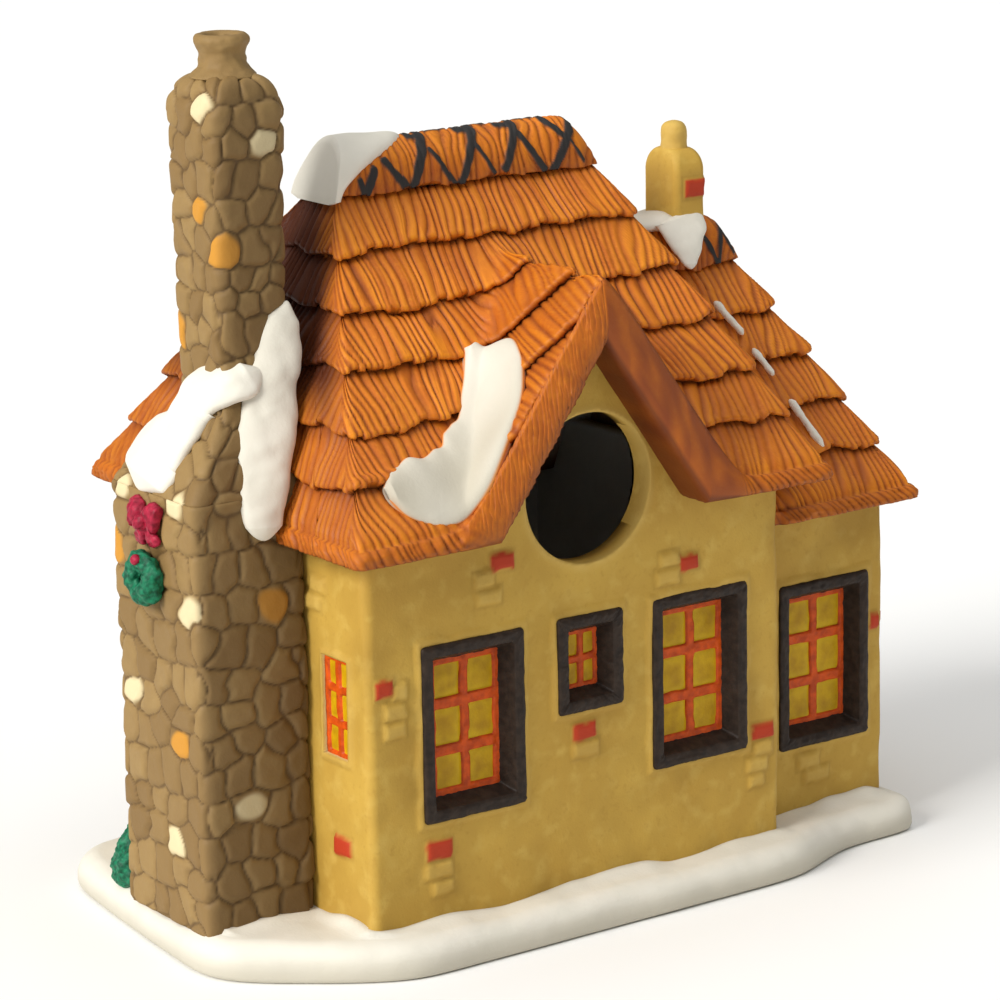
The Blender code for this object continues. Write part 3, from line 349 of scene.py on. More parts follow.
def fired_clay(name, roughness, first, layers, sand):
    """A matte fired clay material. Layers of stain lie one over another on a first colour: each
    has a cover and a hex colour. A cover is either the name of a number painted on the piece, or
    patches: the width of a patch in millimetres and the noise values where they begin and are
    full. Sand lists the fine relief: width and depth in millimetres."""
    material = bpy.data.materials.new(name)
    material.use_nodes = True
    tree = material.node_tree
    shader = tree.nodes["Principled BSDF"]
    shader.inputs["Roughness"].default_value = roughness
    shader.inputs["IOR"].default_value = 1.5
    # Unglazed clay is full of pores, which swallow about half of the shine
    shader.inputs["Specular IOR Level"].default_value = 0.22
    place = add(tree, "ShaderNodeTexCoord").outputs["Object"]
    below = None
    for cover, code in layers:
        if isinstance(cover, str):
            share = add(tree, "ShaderNodeAttribute", {"attribute_name": cover}).outputs["Fac"]
        else:
            size, low, high = cover
            grain = {"Scale": 1 / (size * MM), "Detail": 3.0}
            noise = add(tree, "ShaderNodeTexNoise", grain, [("Vector", place)])
            spread = {"From Min": low, "From Max": high}
            share = add(tree, "ShaderNodeMapRange", spread, [("Value", noise.outputs[0])]).outputs[0]
        mix = add(tree, "ShaderNodeMix", {"data_type": "RGBA"}, [(0, share)])
        mix.inputs[7].default_value = linear(code)
        if below is None:
            mix.inputs[6].default_value = linear(first)
        else:
            tree.links.new(below, mix.inputs[6])
        below = mix.outputs[2]
    tree.links.new(below, shader.inputs["Base Color"])
    normal = None
    for size, depth in sand:
        grain = {"Scale": 1 / (size * MM), "Detail": 2.0}
        noise = add(tree, "ShaderNodeTexNoise", grain, [("Vector", place)])
        links = [("Height", noise.outputs[0])] + ([("Normal", normal)] if normal else [])
        normal = add(tree, "ShaderNodeBump", {"Distance": depth * MM}, links).outputs[0]
    tree.links.new(normal, shader.inputs["Normal"])
    return material


# Porcelain bisque sponged with a cream yellow stain and wiped back: warm and cloudy, browner in the
# hollows, with red bricks dabbed on, and a band of painted shade under the eaves. Inside the house
# nothing is stained, and only grey clay shows.
# The sand of real bisque is 0.1 mm; it is drawn 0.5 mm wide, the finest that a pixel still shows.
WALL_LAYERS = [
    ((17, 0.36, 0.7), "#C6A148"),
    ((4.5, 0.52, 0.82), "#CCAA55"),
    ((1.3, 0.56, 0.9), "#B38D3B"),
    # Stain in the hollows, and painted shade where a piece marks it
    ("stain_and_shade", "#8E6C28"),
    ("pale", "#D0B064"),
    ("red", "#B23A1E"),
    ("inside", "#D6D4CF"),
]
WALL_STAIN = fired_clay("bisque_yellow_stain", 0.62, "#B8923E", WALL_LAYERS, [(3.2, 0.1), (0.5, 0.05)])
# Bisque modelled as combed straw and stained orange brown: the stain pools dark red brown in the
# grooves, painted shade darkens the band under each ledge, and the crests are rubbed bright, with a
# painted highlight toward each course's butt.
STRAW_LAYERS = [
    ((7, 0.36, 0.66), "#D57719"),
    ((1.1, 0.5, 0.8), "#D9801E"),
    ("light_straw_and_highlight", "#EA9120"),
    ("groove", "#7E3B1E"),
    ("rust", "#843E1A"),
    ("shade", "#4A200F"),
    ("tie", "#2E2C2B"),
    ("inside", "#D6D4CF"),
]
STRAW_STAIN = fired_clay("bisque_straw_stain", 0.5, "#C66A1A", STRAW_LAYERS, [(0.8, 0.06)])
# Bisque modelled as fieldstones and stained tan: darker joints, each stone a little apart in tone,
# single stones dabbed cream or ochre, and painted shade on the side away from the light.
STONE_LAYERS = [
    ((2.6, 0.35, 0.68), "#9A7E4F"),
    ("tone", "#80653D"),
    ("cream", "#DCCBA0"),
    ("ochre", "#C68B33"),
    ("joint", "#5A4429"),
    ("shade", "#46331E"),
]
STONE_STAIN = fired_clay("bisque_stone_stain", 0.6, "#94784B", STONE_LAYERS, [(0.7, 0.06)])
# Unstained white bisque, smooth and faintly warm, greyed by painted shade where a piece marks it.
SNOW_LAYERS = [((11, 0.3, 0.7), "#E8E3D6"), ("stain_and_shade", "#B9B2A0"), ("wash", "#D98A3C")]
WHITE_BISQUE = fired_clay("bisque_white", 0.58, "#DEDACC", SNOW_LAYERS, [(3, 0.1), (0.6, 0.04)])


def brushed_paint(name, roughness, dark, light, size, edge=None):
    """Hobby paint brushed on bisque: two close tones in patches of a brush's touch."""
    layers = [((size, 0.35, 0.65), light)] + ([("edge", edge)] if edge else [])
    return fired_clay(name, roughness, dark, layers, [(size, 0.12), (0.5, 0.05)])


FRAME_PAINT = brushed_paint("brown_brushed_paint", 0.5, "#241A13", "#34281F", 1.6)
LATTICE_PAINT = brushed_paint("orange_red_brushed_paint", 0.42, "#B2400C", "#D65410", 1.8)
PANE_PAINT = brushed_paint("yellow_brushed_paint", 0.4, "#AE8206", "#C89E08", 3.4, "#EFD41E")
DOOR_PAINT = brushed_paint("door_brown_brushed_paint", 0.5, "#5E341C", "#7A4626", 2.0)
GREEN_PAINT = brushed_paint("holly_green_paint", 0.5, "#0C4A33", "#1E7A56", 1.0)
BOW_PAINT = brushed_paint("crimson_paint", 0.45, "#7A0F26", "#AE2440", 1.2)


# Thatched roofs


# The slopes' rise for each millimetre in, and the hips': how far they lean in for each millimetre
# up, how round their corner is and how full they stand
ROOF_RISE = 1.375
HIP_RUN = 0.42
HIP_ROUND = 2.0
HIP_BELLY = 0.8
# The cross gable's rise for each millimetre along x, and how round its ridge is
GABLE_RISE = 1.42
GABLE_CREST = 1.6
# How far the courses climb toward the gable's peak, and how softly and deep the valley runs
GABLE_SWEEP = 0.36
VALLEY_SOFT = 3.2
VALLEY_DROP = VALLEY_SOFT * 0.08
# On the gable the straws slant: the weights of x and y in the distance across them
GABLE_SLANT = (0.947 * 1.74, 0.322)
# Lower than any slope, for places with no gable over them
FAR_BELOW = 30
# Course levels that fall outside the verge are pressed into this much of it
PRESSED = 0.3
HOUSE_MIDDLE = -5.6
# A straw's width and depth, and a bundle's width
STRAW = 1.8
STRAW_DEPTH = 0.62
BUNDLE = 4.6
# The eave's profile, from deep under it to its tip: how far in, and the share of the butt's height
EAVE_DEEP = 9.5
EAVE_ROWS = [
    (EAVE_DEEP, 0.0), (6.0, 0.0), (3.0, 0.0), (0.9, 0.0), (-0.1, 0.02), (-0.75, 0.07), (-1.15, 0.14),
    (-1.35, 0.24), (-1.35, 0.36), (-1.2, 0.48), (-0.95, 0.6), (-0.65, 0.72), (-0.35, 0.84), (-0.05, 0.93),
]
# A ledge's profile over the next course: how far past its line, and the share of the ledge's depth
LEDGE_ROWS = [(0.10, 1.0), (-0.22, 0.82), (-0.42, 0.5), (-0.46, 0.22), (-0.3, 0.04), (0.0, -0.03)]
# How deep the thatch's inside lies under its face, and how round the eave's upper edge is
THATCH_DROP = 13.0
VERGE_ROUND = 2.2
# The wing's thatch narrows from x of the first to the second where it runs in behind the main walls
WING_HIDES = (46.2, 44.4)
WING_REACH, WING_DRAWN_IN = 41.5, 3.0


def rim(turn, left, right, half, radius):
    """A point on the outline of a roof or a block at one level. The turn counts round the outline
    from the back side's left end: even steps are straight sides (back, right, front, left) and odd
    steps are quarter circles, each about its corner's centre."""
    turn, left, right, half, radius = np.broadcast_arrays(np.mod(turn, 8), left, right, half, radius)
    step = np.minimum(np.floor(turn), 7).astype(int)
    share = turn - step
    side = step // 2
    curved = step % 2 == 1
    centre_x = np.stack([right - radius, right - radius, left + radius, left + radius])
    centre_y = np.stack([radius - half, half - radius, half - radius, radius - half])
    here = side[None]
    last = (side[None] - 1) % 4
    x1, y1 = np.take_along_axis(centre_x, here, 0)[0], np.take_along_axis(centre_y, here, 0)[0]
    x0, y0 = np.take_along_axis(centre_x, last, 0)[0], np.take_along_axis(centre_y, last, 0)[0]
    angle = math.pi / 2 * (side - 1 + np.where(curved, share, 0))
    mix = np.where(curved, 1, share)
    x = x0 * (1 - mix) + x1 * mix + radius * np.cos(angle)
    y = y0 * (1 - mix) + y1 * mix + radius * np.sin(angle)
    return x, y


def course_rows(courses, run, fine):
    """One course's rows after another, from eave to cap: how far in from the eave's tip each row
    is, how deep below the tips' plane, which course it belongs to, and where on it. Each course
    sinks from nothing at its butt to a full ledge's depth at its top, where the next butt stands
    over it."""
    step = run / courses
    count = max(int(step / fine), 6)
    rows = []
    for course in range(courses):
        for share in [(k + 0.6) / count for k in range(count)]:
            rows.append((course * step + share * step, share**1.25, course, share))
        for shift, part in LEDGE_ROWS if course < courses - 1 else ():
            upper = part > 0.6
            rows.append(((course + 1) * step + shift, part, course + (not upper), upper))
    return np.array(rows, float).T


class Roof:
    """A hipped, thatched roof: its eave outline, its slopes and its courses, in millimetres."""

    def __init__(self, left, right, half, tip, soffit, run, courses, ledge, seed, gable=None):
        self.left, self.right, self.half = left, right, half
        self.tip, self.soffit, self.run, self.courses = tip, soffit, run, courses
        self.ledge, self.seed, self.gable = ledge, seed, gable

    def outline(self, turn, inward):
        """The outline's point at a level given by how far it lies in from the eave."""
        rise = inward * ROOF_RISE
        half = self.half - inward
        radius = np.minimum(HIP_ROUND, half * 0.6)
        share = np.clip(inward / self.run, 0, 1)
        belly = HIP_BELLY * 4 * share * (1 - share)
        left = self.left + HIP_RUN * rise - belly
        right = self.right - HIP_RUN * rise + belly
        return rim(turn, left, right, half, radius)

    def gable_top(self, x):
        """Height of the cross gable over a place: two slopes that meet in a rounded ridge."""
        middle, peak = self.gable[:2]
        crest = np.sqrt((x - middle) ** 2 + GABLE_CREST**2) - GABLE_CREST
        return peak - GABLE_RISE * crest

    def top(self, x, y, inward):
        """Height of the tips' surface: the slope, or the cross gable where that is higher. The two
        meet in a soft valley: half their sum plus half a rounded difference."""
        plain = self.tip + ROOF_RISE * np.maximum(inward, 0)
        if self.gable is None:
            return plain, np.zeros_like(plain)
        over = np.where(y < 0, self.gable_top(x), plain - FAR_BELOW)
        apart = over - plain
        soft = np.sqrt(apart**2 + VALLEY_SOFT**2)
        return (over + plain + soft) / 2 - VALLEY_DROP, smooth_step(-2, 3, apart)

    def inward_at(self, level, x, y):
        """How far in a place of a course level lies: the level itself on the plain slope, and less
        on the gable, where the courses climb toward its peak. Levels that fall outside the verge
        are pressed together in its edge."""
        if self.gable is None:
            return level
        height = np.where(y < 0, np.maximum(self.gable_top(x) - self.tip, 0), 0)
        climbed = (level - GABLE_SWEEP * height) / (1 - ROOF_RISE * GABLE_SWEEP)
        most = GABLE_SWEEP * height / (1 - ROOF_RISE * GABLE_SWEEP)
        pressed = PRESSED * (climbed + most) / (PRESSED + most)
        climbed = np.where(climbed < PRESSED, pressed, climbed)
        return np.minimum(level, climbed)

    def level_at(self, inward, x, y):
        """The course level of a place, the other way round."""
        if self.gable is None:
            return inward
        height = np.where(y < 0, self.gable_top(x) - self.tip, 0)
        return inward + GABLE_SWEEP * np.maximum(height - ROOF_RISE * np.maximum(inward, 0), 0)

    def under(self, x, y):
        """Height of the soffit under the eave, or of the gable's own soffit."""
        if self.gable is None:
            return np.full_like(x, self.soffit)
        middle, _, inner = self.gable
        over = np.where(y < 0, inner - GABLE_RISE * np.abs(x - middle), self.soffit)
        return np.maximum(over, self.soffit)


def strand(where, waver):
    """Straws side by side, each 1 wide: the number of the straw at a place, its rounded ridge, a
    finer ridge on it that wavers, and the groove beside it."""
    number = np.floor(where)
    ridge = np.sin(math.pi * np.clip(where - number, 0, 1)) ** 0.7
    fine = np.abs(np.sin(math.pi * (where * 2.3 + waver * 1.6)))
    return number, ridge, fine, np.clip((1 - ridge) * 1.6 - 0.15, 0, 1)


def straws(roof, across, course, share):
    """Relief and paint of the combed straw on one course. Across is the distance along the course
    in straw widths, warped so that the straws vary and lean a little; each straw is a rounded ridge
    between sharp grooves, some grooves cut deeper, and bundles of straws stand apart."""
    seed = roof.seed
    lean = ripple(seed + 11, course * 7.3, across / 9) * 1.1
    sway = ripple(seed + 12, across / 3.1, course * 5.1 + share * 1.1) * 0.6
    width = ripple(seed + 13, across / 1.7, course * 3.7) * 0.55
    where = across + lean * (share - 0.5) * 1.8 + sway + width + course * 0.37
    number, ridge, fine, groove = strand(where, ripple(seed + 15, where, course))
    cut = 0.35 + 0.9 * hashed(seed + 14, number, course)
    bundle = ripple(seed + 16, across / 2.9, course * 9.7) * 0.6
    height = (ridge - 1) * cut * STRAW_DEPTH + (fine - 0.6) * 0.08 + bundle * 0.34
    groove = np.maximum(groove * np.clip(0.25 + 0.75 * cut, 0, 1), np.clip(0.35 - fine, 0, 1) * 0.8)
    return height, groove, hashed(seed + 17, number, course)


def ledge_wander(x, y, course):
    """How far a course's ledge stands above its even height, as in the CAD: a long and a short sine
    along the house, and the same across it."""
    far = (x - HOUSE_MIDDLE) / 6.5 + 2.1 * course
    deep = y / 6.5 + 1.7 * course
    close = (x - HOUSE_MIDDLE) / 2.9 + 3.3 * course
    near = y / 2.9 + 2.7 * course
    return 0.4 * (np.sin(far) + np.sin(deep)) + 0.2 * (np.sin(close) + np.sin(near))


def thatch(name, roof, start, end, columns, rows_fine, nodes):
    """One stretch of thatch between two turns round the outline. Its columns are closed profiles:
    under the eave, up the butt, over the courses to the cap, and back down inside the thatch."""
    levels, depth, course, place = course_rows(roof.courses, roof.run, rows_fine)
    turn = stretch_columns(roof, start, end, columns)
    shares = np.array([row[1] for row in EAVE_ROWS])
    edge, count = len(EAVE_ROWS), len(levels)
    inner = np.linspace(roof.run, EAVE_DEEP, 7)[1:-1]
    rows = edge + count + len(inner)
    body, butt = slice(edge, edge + count), slice(0, edge)
    level = np.empty((columns, rows))
    level[:, butt] = [row[0] for row in EAVE_ROWS]
    level[:, body] = levels
    level[:, edge + count :] = inner
    grid_turn = np.broadcast_to(turn[:, None], level.shape)

    # Where each row lies: its column's place at the eave decides how the gable lifts the courses
    tip_x, tip_y = roof.outline(turn, 0)
    inward = level.copy()
    for _ in range(3):
        x, y = roof.outline(grid_turn, inward)
        inward[:, body] = roof.inward_at(level, x, y)[:, body]
    x, y = roof.outline(grid_turn, inward)
    z, on_gable = roof.top(x, y, inward)
    low, high = roof.under(tip_x, tip_y), roof.top(tip_x, tip_y, 0 * tip_x)[0]
    z[:, butt] = roof.under(x[:, butt], y[:, butt]) + (high - low)[:, None] * shares
    z[:, edge + count :] -= THATCH_DROP
    points = np.stack([x, y, z], -1)
    surface = points[:, body]
    out = normals(surface)
    out *= np.sign(out[..., 2:3] + 1e-6)

    # A place's own course and share of it; pressed rows at the verge take those of the verge
    on = on_gable[:, body]
    step = roof.run / roof.courses
    actual = roof.level_at(inward[:, body], surface[..., 0], surface[..., 1])
    pressed = actual - np.broadcast_to(levels, actual.shape) > 0.25
    which = np.where(pressed, np.floor(actual / step), course)
    share = np.where(pressed, actual / step - which, place)
    deep = np.where(pressed, np.clip(share, 0, 1) ** 1.25, depth)

    # Distance along the courses; on the gable the straws run between its slope and its ridge
    half = roof.half - inward[:, body]
    distance = roof_distance(grid_turn[:, body], surface[..., 0], surface[..., 1], half)
    height, groove, length = straws(roof, distance / STRAW, which, share)
    if roof.gable is not None:
        beside = surface[..., 0] - roof.gable[0]
        by_x, by_y = GABLE_SLANT
        slanted = by_x * beside + by_y * np.sign(beside) * surface[..., 1]
        height_g, groove_g, length_g = straws(roof, slanted / STRAW + 300, which, share)
        height = height * (1 - on) + height_g * on
        groove = groove * (1 - on) + groove_g * on
        length = length * (1 - on) + length_g * on

    # Ledges wander, and bundles and single straws end a little long or short
    near_lip = np.clip(smooth_step(0.7, 1.0, share) + smooth_step(0.3, 0.0, share), 0, 1)
    lip = which + (share > 0.5)
    shift = ledge_wander(surface[..., 0], surface[..., 1], lip) / ROOF_RISE
    shift = shift + ripple(roof.seed + 4, distance / BUNDLE, lip * 5.9) * 0.5
    shift = shift + (length - 0.5) * 0.55
    shift = shift * near_lip * np.where(lip < roof.courses, 1, 0.3) * ~pressed * (lip > 0.5)
    moved = np.maximum(inward[:, body] + shift, 0)
    x2, y2 = roof.outline(grid_turn[:, body], moved)
    surface = np.stack([x2, y2, roof.top(x2, y2, moved)[0]], -1)

    sunk = deep * roof.ledge
    round_over = np.clip(1 - inward[:, body] / VERGE_ROUND, 0, 1)
    sunk = sunk + VERGE_ROUND * 0.62 * (1 - np.sqrt(1 - round_over**2 * 0.98))
    sunk = sunk + ripple(roof.seed + 5, distance / 8, which * 4 + share * 2) * 0.3
    dull = smooth_step(0.0, 0.14, share) * 0.4 + 0.6
    right_limb = np.zeros((columns, 1))
    if roof.gable is not None:
        right_limb = on[:, :1] * (tip_x[:, None] > roof.gable[0])
    calm = 1 - right_limb * smooth_step(1.5, 0.4, inward[:, body])
    points[:, body] = surface + out * (height * dull * calm - sunk)[..., None]

    # The butt is combed too, its straws slanting on over the edge, but smooth on the right limb
    edge_out = unit(out[:, 0] * [1, 1, 0])
    drop = (1 - shares)[None] * (high - low)[:, None]
    walk = walked(np.linalg.norm(np.diff(points[:, edge], axis=0), axis=1))
    slant = 0.6 + 0.35 * on[:, :1]
    across = (walk[:, None] - slant * drop) / STRAW
    combed, dark, _ = straws(roof, across, 0 * drop + 40, 0.5 + 0 * drop)
    face = np.clip(np.sin(math.pi * np.clip(shares * 0.9 + 0.1, 0, 1)) * 1.6, 0, 1) * (shares > 0.01)
    # Its relief fades out at both ends of the stretch, so that the next one meets it evenly
    face = face * (smooth_step(0, 1.2, walk) * smooth_step(0, 1.2, walk[-1] - walk))[:, None]
    rough = 0.42 * ripple(roof.seed + 6, walk[:, None] / 3.4, shares[None] * 3)
    rough = rough + 0.16 * ripple(roof.seed + 7, walk[:, None] / 1.1, shares[None] * 9)
    calm = 1 - right_limb
    relief = (combed * calm + rough * (0.4 + 0.6 * calm)) * face
    points[:, butt] += edge_out[:, None] * relief[..., None]
    # Where a roof without a gable runs in behind the main walls, it stays inside their faces
    if roof.gable is None:
        reach = WING_REACH - WING_DRAWN_IN * smooth_step(*WING_HIDES, points[..., 0])
        points[..., 1] = np.clip(points[..., 1], -reach, reach)

    paint = {key: np.zeros(level.shape) for key in ("groove", "shade", "light_straw_and_highlight", "rust", "tie", "inside")}
    # The end faces stay stained, as a little of one shows where the straws of two stretches differ
    paint["inside"][1:-1, edge + count :] = 1
    fade = hashed(roof.seed + 18, np.floor(distance / STRAW / 1.3), which)
    smear = 0.5 + 0.5 * ripple(roof.seed + 19, distance / 5, which * 3 + share * 1.5)
    paint["groove"][:, body] = groove * (0.36 + 0.5 * smear)
    # Lighter straws, and a painted highlight on the crests that fades from each course's butt to its top
    paint["light_straw_and_highlight"][:, body] = np.clip(fade * 0.9 - groove, 0, 1) * (1 - share * 0.7)
    # Painted shade in the band under each ledge
    paint["shade"][:, body] = smooth_step(0.84, 1.0, share) * 0.75 * (deep > 0.2)
    low_down = smooth_step(112, 90, surface[..., 2])
    rust = 0.22 * smooth_step(0.55, 0.95, share) + 0.12 * (1 - smear) + 0.13 * low_down
    paint["rust"][:, body] = rust
    if roof.gable is not None:
        # Painted shadow of the stack on the end slope behind it, darker away from the hip
        behind = smooth_step(0.3, 0.85, -out[..., 0]) * smooth_step(98, 112, surface[..., 2])
        across_end = surface[..., 1] + roof.half - inward[:, body]
        stack_shadow = behind * smooth_step(0.5, 9.0, across_end) * 0.95
        paint["shade"][:, body] = np.maximum(paint["shade"][:, body], stack_shadow)
    paint["rust"][:, body] += 0.3 * smooth_step(0.4, 0.9, -out[..., 0])
    limb = right_limb * smooth_step(2.4, 0.8, inward[:, body])
    paint["rust"][:, body] = np.maximum(paint["rust"][:, body], 0.9 * limb)
    for key in ("groove", "light_straw_and_highlight", "shade"):
        paint[key][:, body] *= 1 - limb
    paint["groove"][:, butt] = dark * 0.7 * calm
    smudge = ripple(roof.seed + 8, walk[:, None] / 4.5, shares[None] * 5)
    paint["rust"][:, butt] = 0.2 + right_limb * (0.55 + 0.25 * smudge)
    paint["light_straw_and_highlight"][:, butt] = right_limb * 0.5 * smooth_step(0.35, 0.9, smudge)
    paint["shade"][:, butt] = np.where(shares < 0.1, 0.6, 0.35 * (1 - shares) * calm)
    paint = {key: value[::-1] for key, value in paint.items()}
    return tube(name, points[::-1], "thatch_glaze", STRAW_STAIN, nodes, paint)


def roof_distance(turn, x, y, half):
    """Distance along a roof's courses: y on the ends, counted from a far number, and x on the back,
    the front and their corners, where how far a place has turned in from the side is added."""
    turn = np.mod(turn, 8)
    step = np.minimum(np.floor(turn), 7)
    turned_in = np.sign(x - HOUSE_MIDDLE) * (half - np.abs(y)) * (step % 2 == 1)
    return np.where((step == 2) | (step == 6), y + 900, x + turned_in + 1200 * (y > 0))


def stretch_columns(roof, start, end, columns):
    """Turns for evenly spaced columns: the eave is walked in fine steps, its length summed with the
    gable's slopes counted in full, and cut into equal parts."""
    fine = np.linspace(start, end, 4000)
    x, y = roof.outline(fine, 0)
    z = roof.top(x, y, 0 * x)[0]
    length = walked(np.sqrt(np.diff(x) ** 2 + np.diff(y) ** 2 + np.diff(z) ** 2))
    return np.interp(np.linspace(0, length[-1], columns), length, fine)


roof_low, roof_high = span("main_roof")
gable_low, gable_high = span("gable_roof")
GABLE_MIDDLE = (gable_low[0] + gable_high[0]) / 2
# How much the butts of the straw swell out past the outlines
EAVE_SWELL, WING_SWELL = 1.55, 1.2
# The gable is given by its middle, its peak and the peak of its soffit
MAIN_ROOF = Roof(
    left=roof_low[0] + EAVE_SWELL / 2,
    right=roof_high[0] - EAVE_SWELL / 2,
    half=roof_high[1] - EAVE_SWELL,
    tip=84.5,
    soffit=roof_low[2],
    run=41.9,
    courses=6,
    ledge=1.8,
    seed=100,
    gable=(GABLE_MIDDLE, gable_high[2], 115.0),
)
# Each stretch starts and ends at a turn round the eave, and has its columns and its rows' spacing
thatch("thatch_back_left", MAIN_ROOF, 6.86, 8.5, 350, 0.36, ["main_roof", "gable_roof"])
thatch("thatch_back_right", MAIN_ROOF, 0.5, 2.14, 350, 0.36, ["main_roof", "gable_roof"])
thatch("thatch_front", MAIN_ROOF, 2.14, 6.16, 380, 0.55, ["main_roof"])
thatch("thatch_chimney_end", MAIN_ROOF, 6.16, 6.86, 150, 0.45, ["main_roof"])

# The wing's roof starts under the main one, so its outline reaches well inside it
wing_low, wing_high = span("wing_roof")
WING_ROOF = Roof(
    left=-6.0,
    right=wing_high[0] - WING_SWELL / 2,
    half=wing_high[1] - WING_SWELL,
    tip=73.5,
    soffit=wing_low[2],
    run=32.7,
    courses=5,
    ledge=1.8,
    seed=140,
)
thatch("thatch_wing_back", WING_ROOF, 0.42, 2.14, 220, 0.38, ["wing_roof"])
thatch("thatch_wing_end", WING_ROOF, 2.14, 2.86, 170, 0.45, ["wing_roof"])
thatch("thatch_wing_front", WING_ROOF, 2.86, 4.58, 180, 0.5, ["wing_roof"])


# Ridge caps


RIDGE_ROWS = 70


def hood(roof, low, high, arc, wide, swell):
    """Half a loop over a ridge: it goes up one side as a sloped, rounded curve, the sine of the arc
    to a power, and down the other. Swell moves it off. Returns y, z and the hip's lean there."""
    y = -np.cos(arc) * (wide + swell)
    z = low + np.sin(arc) ** 1.12 * (high - low + swell)
    return y, z, HIP_RUN * (z - roof.tip)


def with_floor(points, height):
    """Closes rows of points over a ridge into loops: each runs back under it, flat, at a height."""
    under = np.linspace(1, -1, 8)[None, 1:-1]
    y = points[:, -1:, 1] * (under + 1) / 2 + points[:, :1, 1] * (1 - under) / 2
    x = np.broadcast_to(points[:, :1, 0], y.shape)
    return np.concatenate([points, np.stack([x, y, np.full(y.shape, height)], -1)], 1)


def ridge_cap(name, roof, low, high, from_x, columns, nodes, ties, seed):
    """A ridge cap: a rounded hood of straw over the ridge, its hip ends leaning in as they rise and
    rounded off. Ties are strokes of paint between two places, each given by x and its share of the
    cap's height, on its near or far side."""
    share = np.linspace(0, 1, columns)[:, None]
    arc = np.linspace(0, math.pi, RIDGE_ROWS)[None]
    ease = rounded_ends(share, 6)
    lip = np.abs(np.cos(arc)) ** 5
    y, z, lean = hood(roof, low, high, arc, roof.half - roof.run, 0.25)
    left = roof.left + lean if from_x is None else from_x + 0 * arc
    right = roof.right - lean + 0.1
    x = left + (right - left) * share
    z = low - 1.1 + (z - low) * (high - low + 0.9) / (high - low) * (0.66 + 0.34 * ease)
    z = z + 0.25 * ripple(seed, x / 9, arc * 2)
    y = y * (0.84 + 0.16 * ease)
    points = np.stack([x, y, z], -1)
    out = np.stack([0 * x, -np.cos(arc) + 0 * x, np.sin(arc) + 0 * x], -1)
    where = x / STRAW + 0.8 * ripple(seed + 1, x / 4, arc * 1.5) + 0.5 * np.cos(arc)
    number, ridge, fine, groove = strand(where, ripple(seed + 6, where, arc * 2))
    cut = 0.4 + 0.8 * own(seed + 2, number)
    height = (ridge - 1) * 0.5 * cut + (fine - 0.6) * 0.08
    comb = (own(seed + 3, number) - 0.5) * 0.6 + 0.9 * ripple(seed + 4, x / 5, 0 * x)
    points[..., 2] += comb * lip
    tie = np.zeros_like(x)
    lifted = (z + 1.1 - low) / (high - low + 0.9)
    for near, x0, foot, x1, top, wide in ties:
        along = (high - low) * 1.25
        run_x, run_z = x1 - x0, (top - foot) * along
        to_x, to_z = x - x0, (lifted - foot) * along
        part = np.clip((to_x * run_x + to_z * run_z) / (run_x**2 + run_z**2), 0, 1)
        away = np.hypot(to_x - part * run_x, to_z - part * run_z)
        away = away + 0.16 * ripple(seed + 5, x / 1.3, lifted * 6)
        stroke = smooth_step(wide / 2 + 0.15, wide / 2 - 0.15, away) * (y * near > -0.3)
        tie = np.maximum(tie, stroke)
    height = height * (1 - 0.7 * tie) + tie * 0.3
    loop = with_floor(points + out * height[..., None], low - 1.6)
    paint = {key: np.zeros(loop.shape[:2]) for key in ("groove", "shade", "light_straw_and_highlight", "rust", "tie")}
    top = slice(0, RIDGE_ROWS)
    paint["groove"][:, top] = groove * 0.6 + np.clip(0.3 - fine, 0, 1)
    paint["tie"][:, top] = tie
    paint["rust"][:, top] = lip * 0.5
    paint["shade"][:, RIDGE_ROWS:] = 0.8
    paint["light_straw_and_highlight"][:, top] = own(seed + 6, number) * 0.4
    return tube(name, loop, "ridge_thatch", STRAW_STAIN, nodes, paint)


# Ties brushed on the caps: x and height of the stroke's two ends, and its width
BACK_TIES = [
    (-30.2, -0.05, -27.3, 0.47, 1.9), (-30.2, 0.0, -30.9, 0.3, 1.3), (-20.4, 0.0, -24.4, 0.61, 1.7),
    (-19.0, 0.0, -14.4, 0.98, 2.2), (-14.2, 0.96, -17.2, 1.0, 1.0), (-9.3, 0.0, -13.8, 0.72, 1.1),
    (-8.0, 0.0, -2.5, 0.98, 2.0), (-2.5, 0.98, -6.0, 1.0, 0.9), (0.0, 0.04, -3.4, 0.76, 1.0),
    (2.6, 0.1, 7.2, 1.0, 1.9), (7.0, 0.98, 3.4, 1.0, 1.0), (11.9, 0.04, 7.4, 0.8, 1.5),
    (14.1, 0.0, 20.4, 0.9, 2.1), (17.3, 0.72, 14.6, 1.0, 1.5), (21.4, 0.13, 19.2, 0.55, 0.9),
]
# The far side's ties are the near side's turned about the middle between the cap's ends
CAP_ENDS = -4.0
MAIN_TIES = [(-1, *tie) for tie in BACK_TIES]
MAIN_TIES += [(1, CAP_ENDS - x0, foot, CAP_ENDS - x1, top, wide) for x0, foot, x1, top, wide in BACK_TIES]
SHORT_TIES = [(54.6, 0.0, 51.4, 0.8, 1.1), (54.8, 0.0, 57.2, 0.9, 1.2), (58.9, 0.1, 56.6, 0.8, 0.9)]
WING_TIES = [(side, *tie) for side in (-1, 1) for tie in SHORT_TIES]
CAP_FOOT, WING_CAP_FOOT, WING_CAP_START = 142.1, 118.5, 28.0
cap_top = span("main_ridge_cap")[1][2]
wing_cap_top = span("wing_ridge_cap")[1][2]
ridge_cap("ridge_cap_main", MAIN_ROOF, CAP_FOOT, cap_top, None, 300, ["main_ridge_cap"], MAIN_TIES, 160)
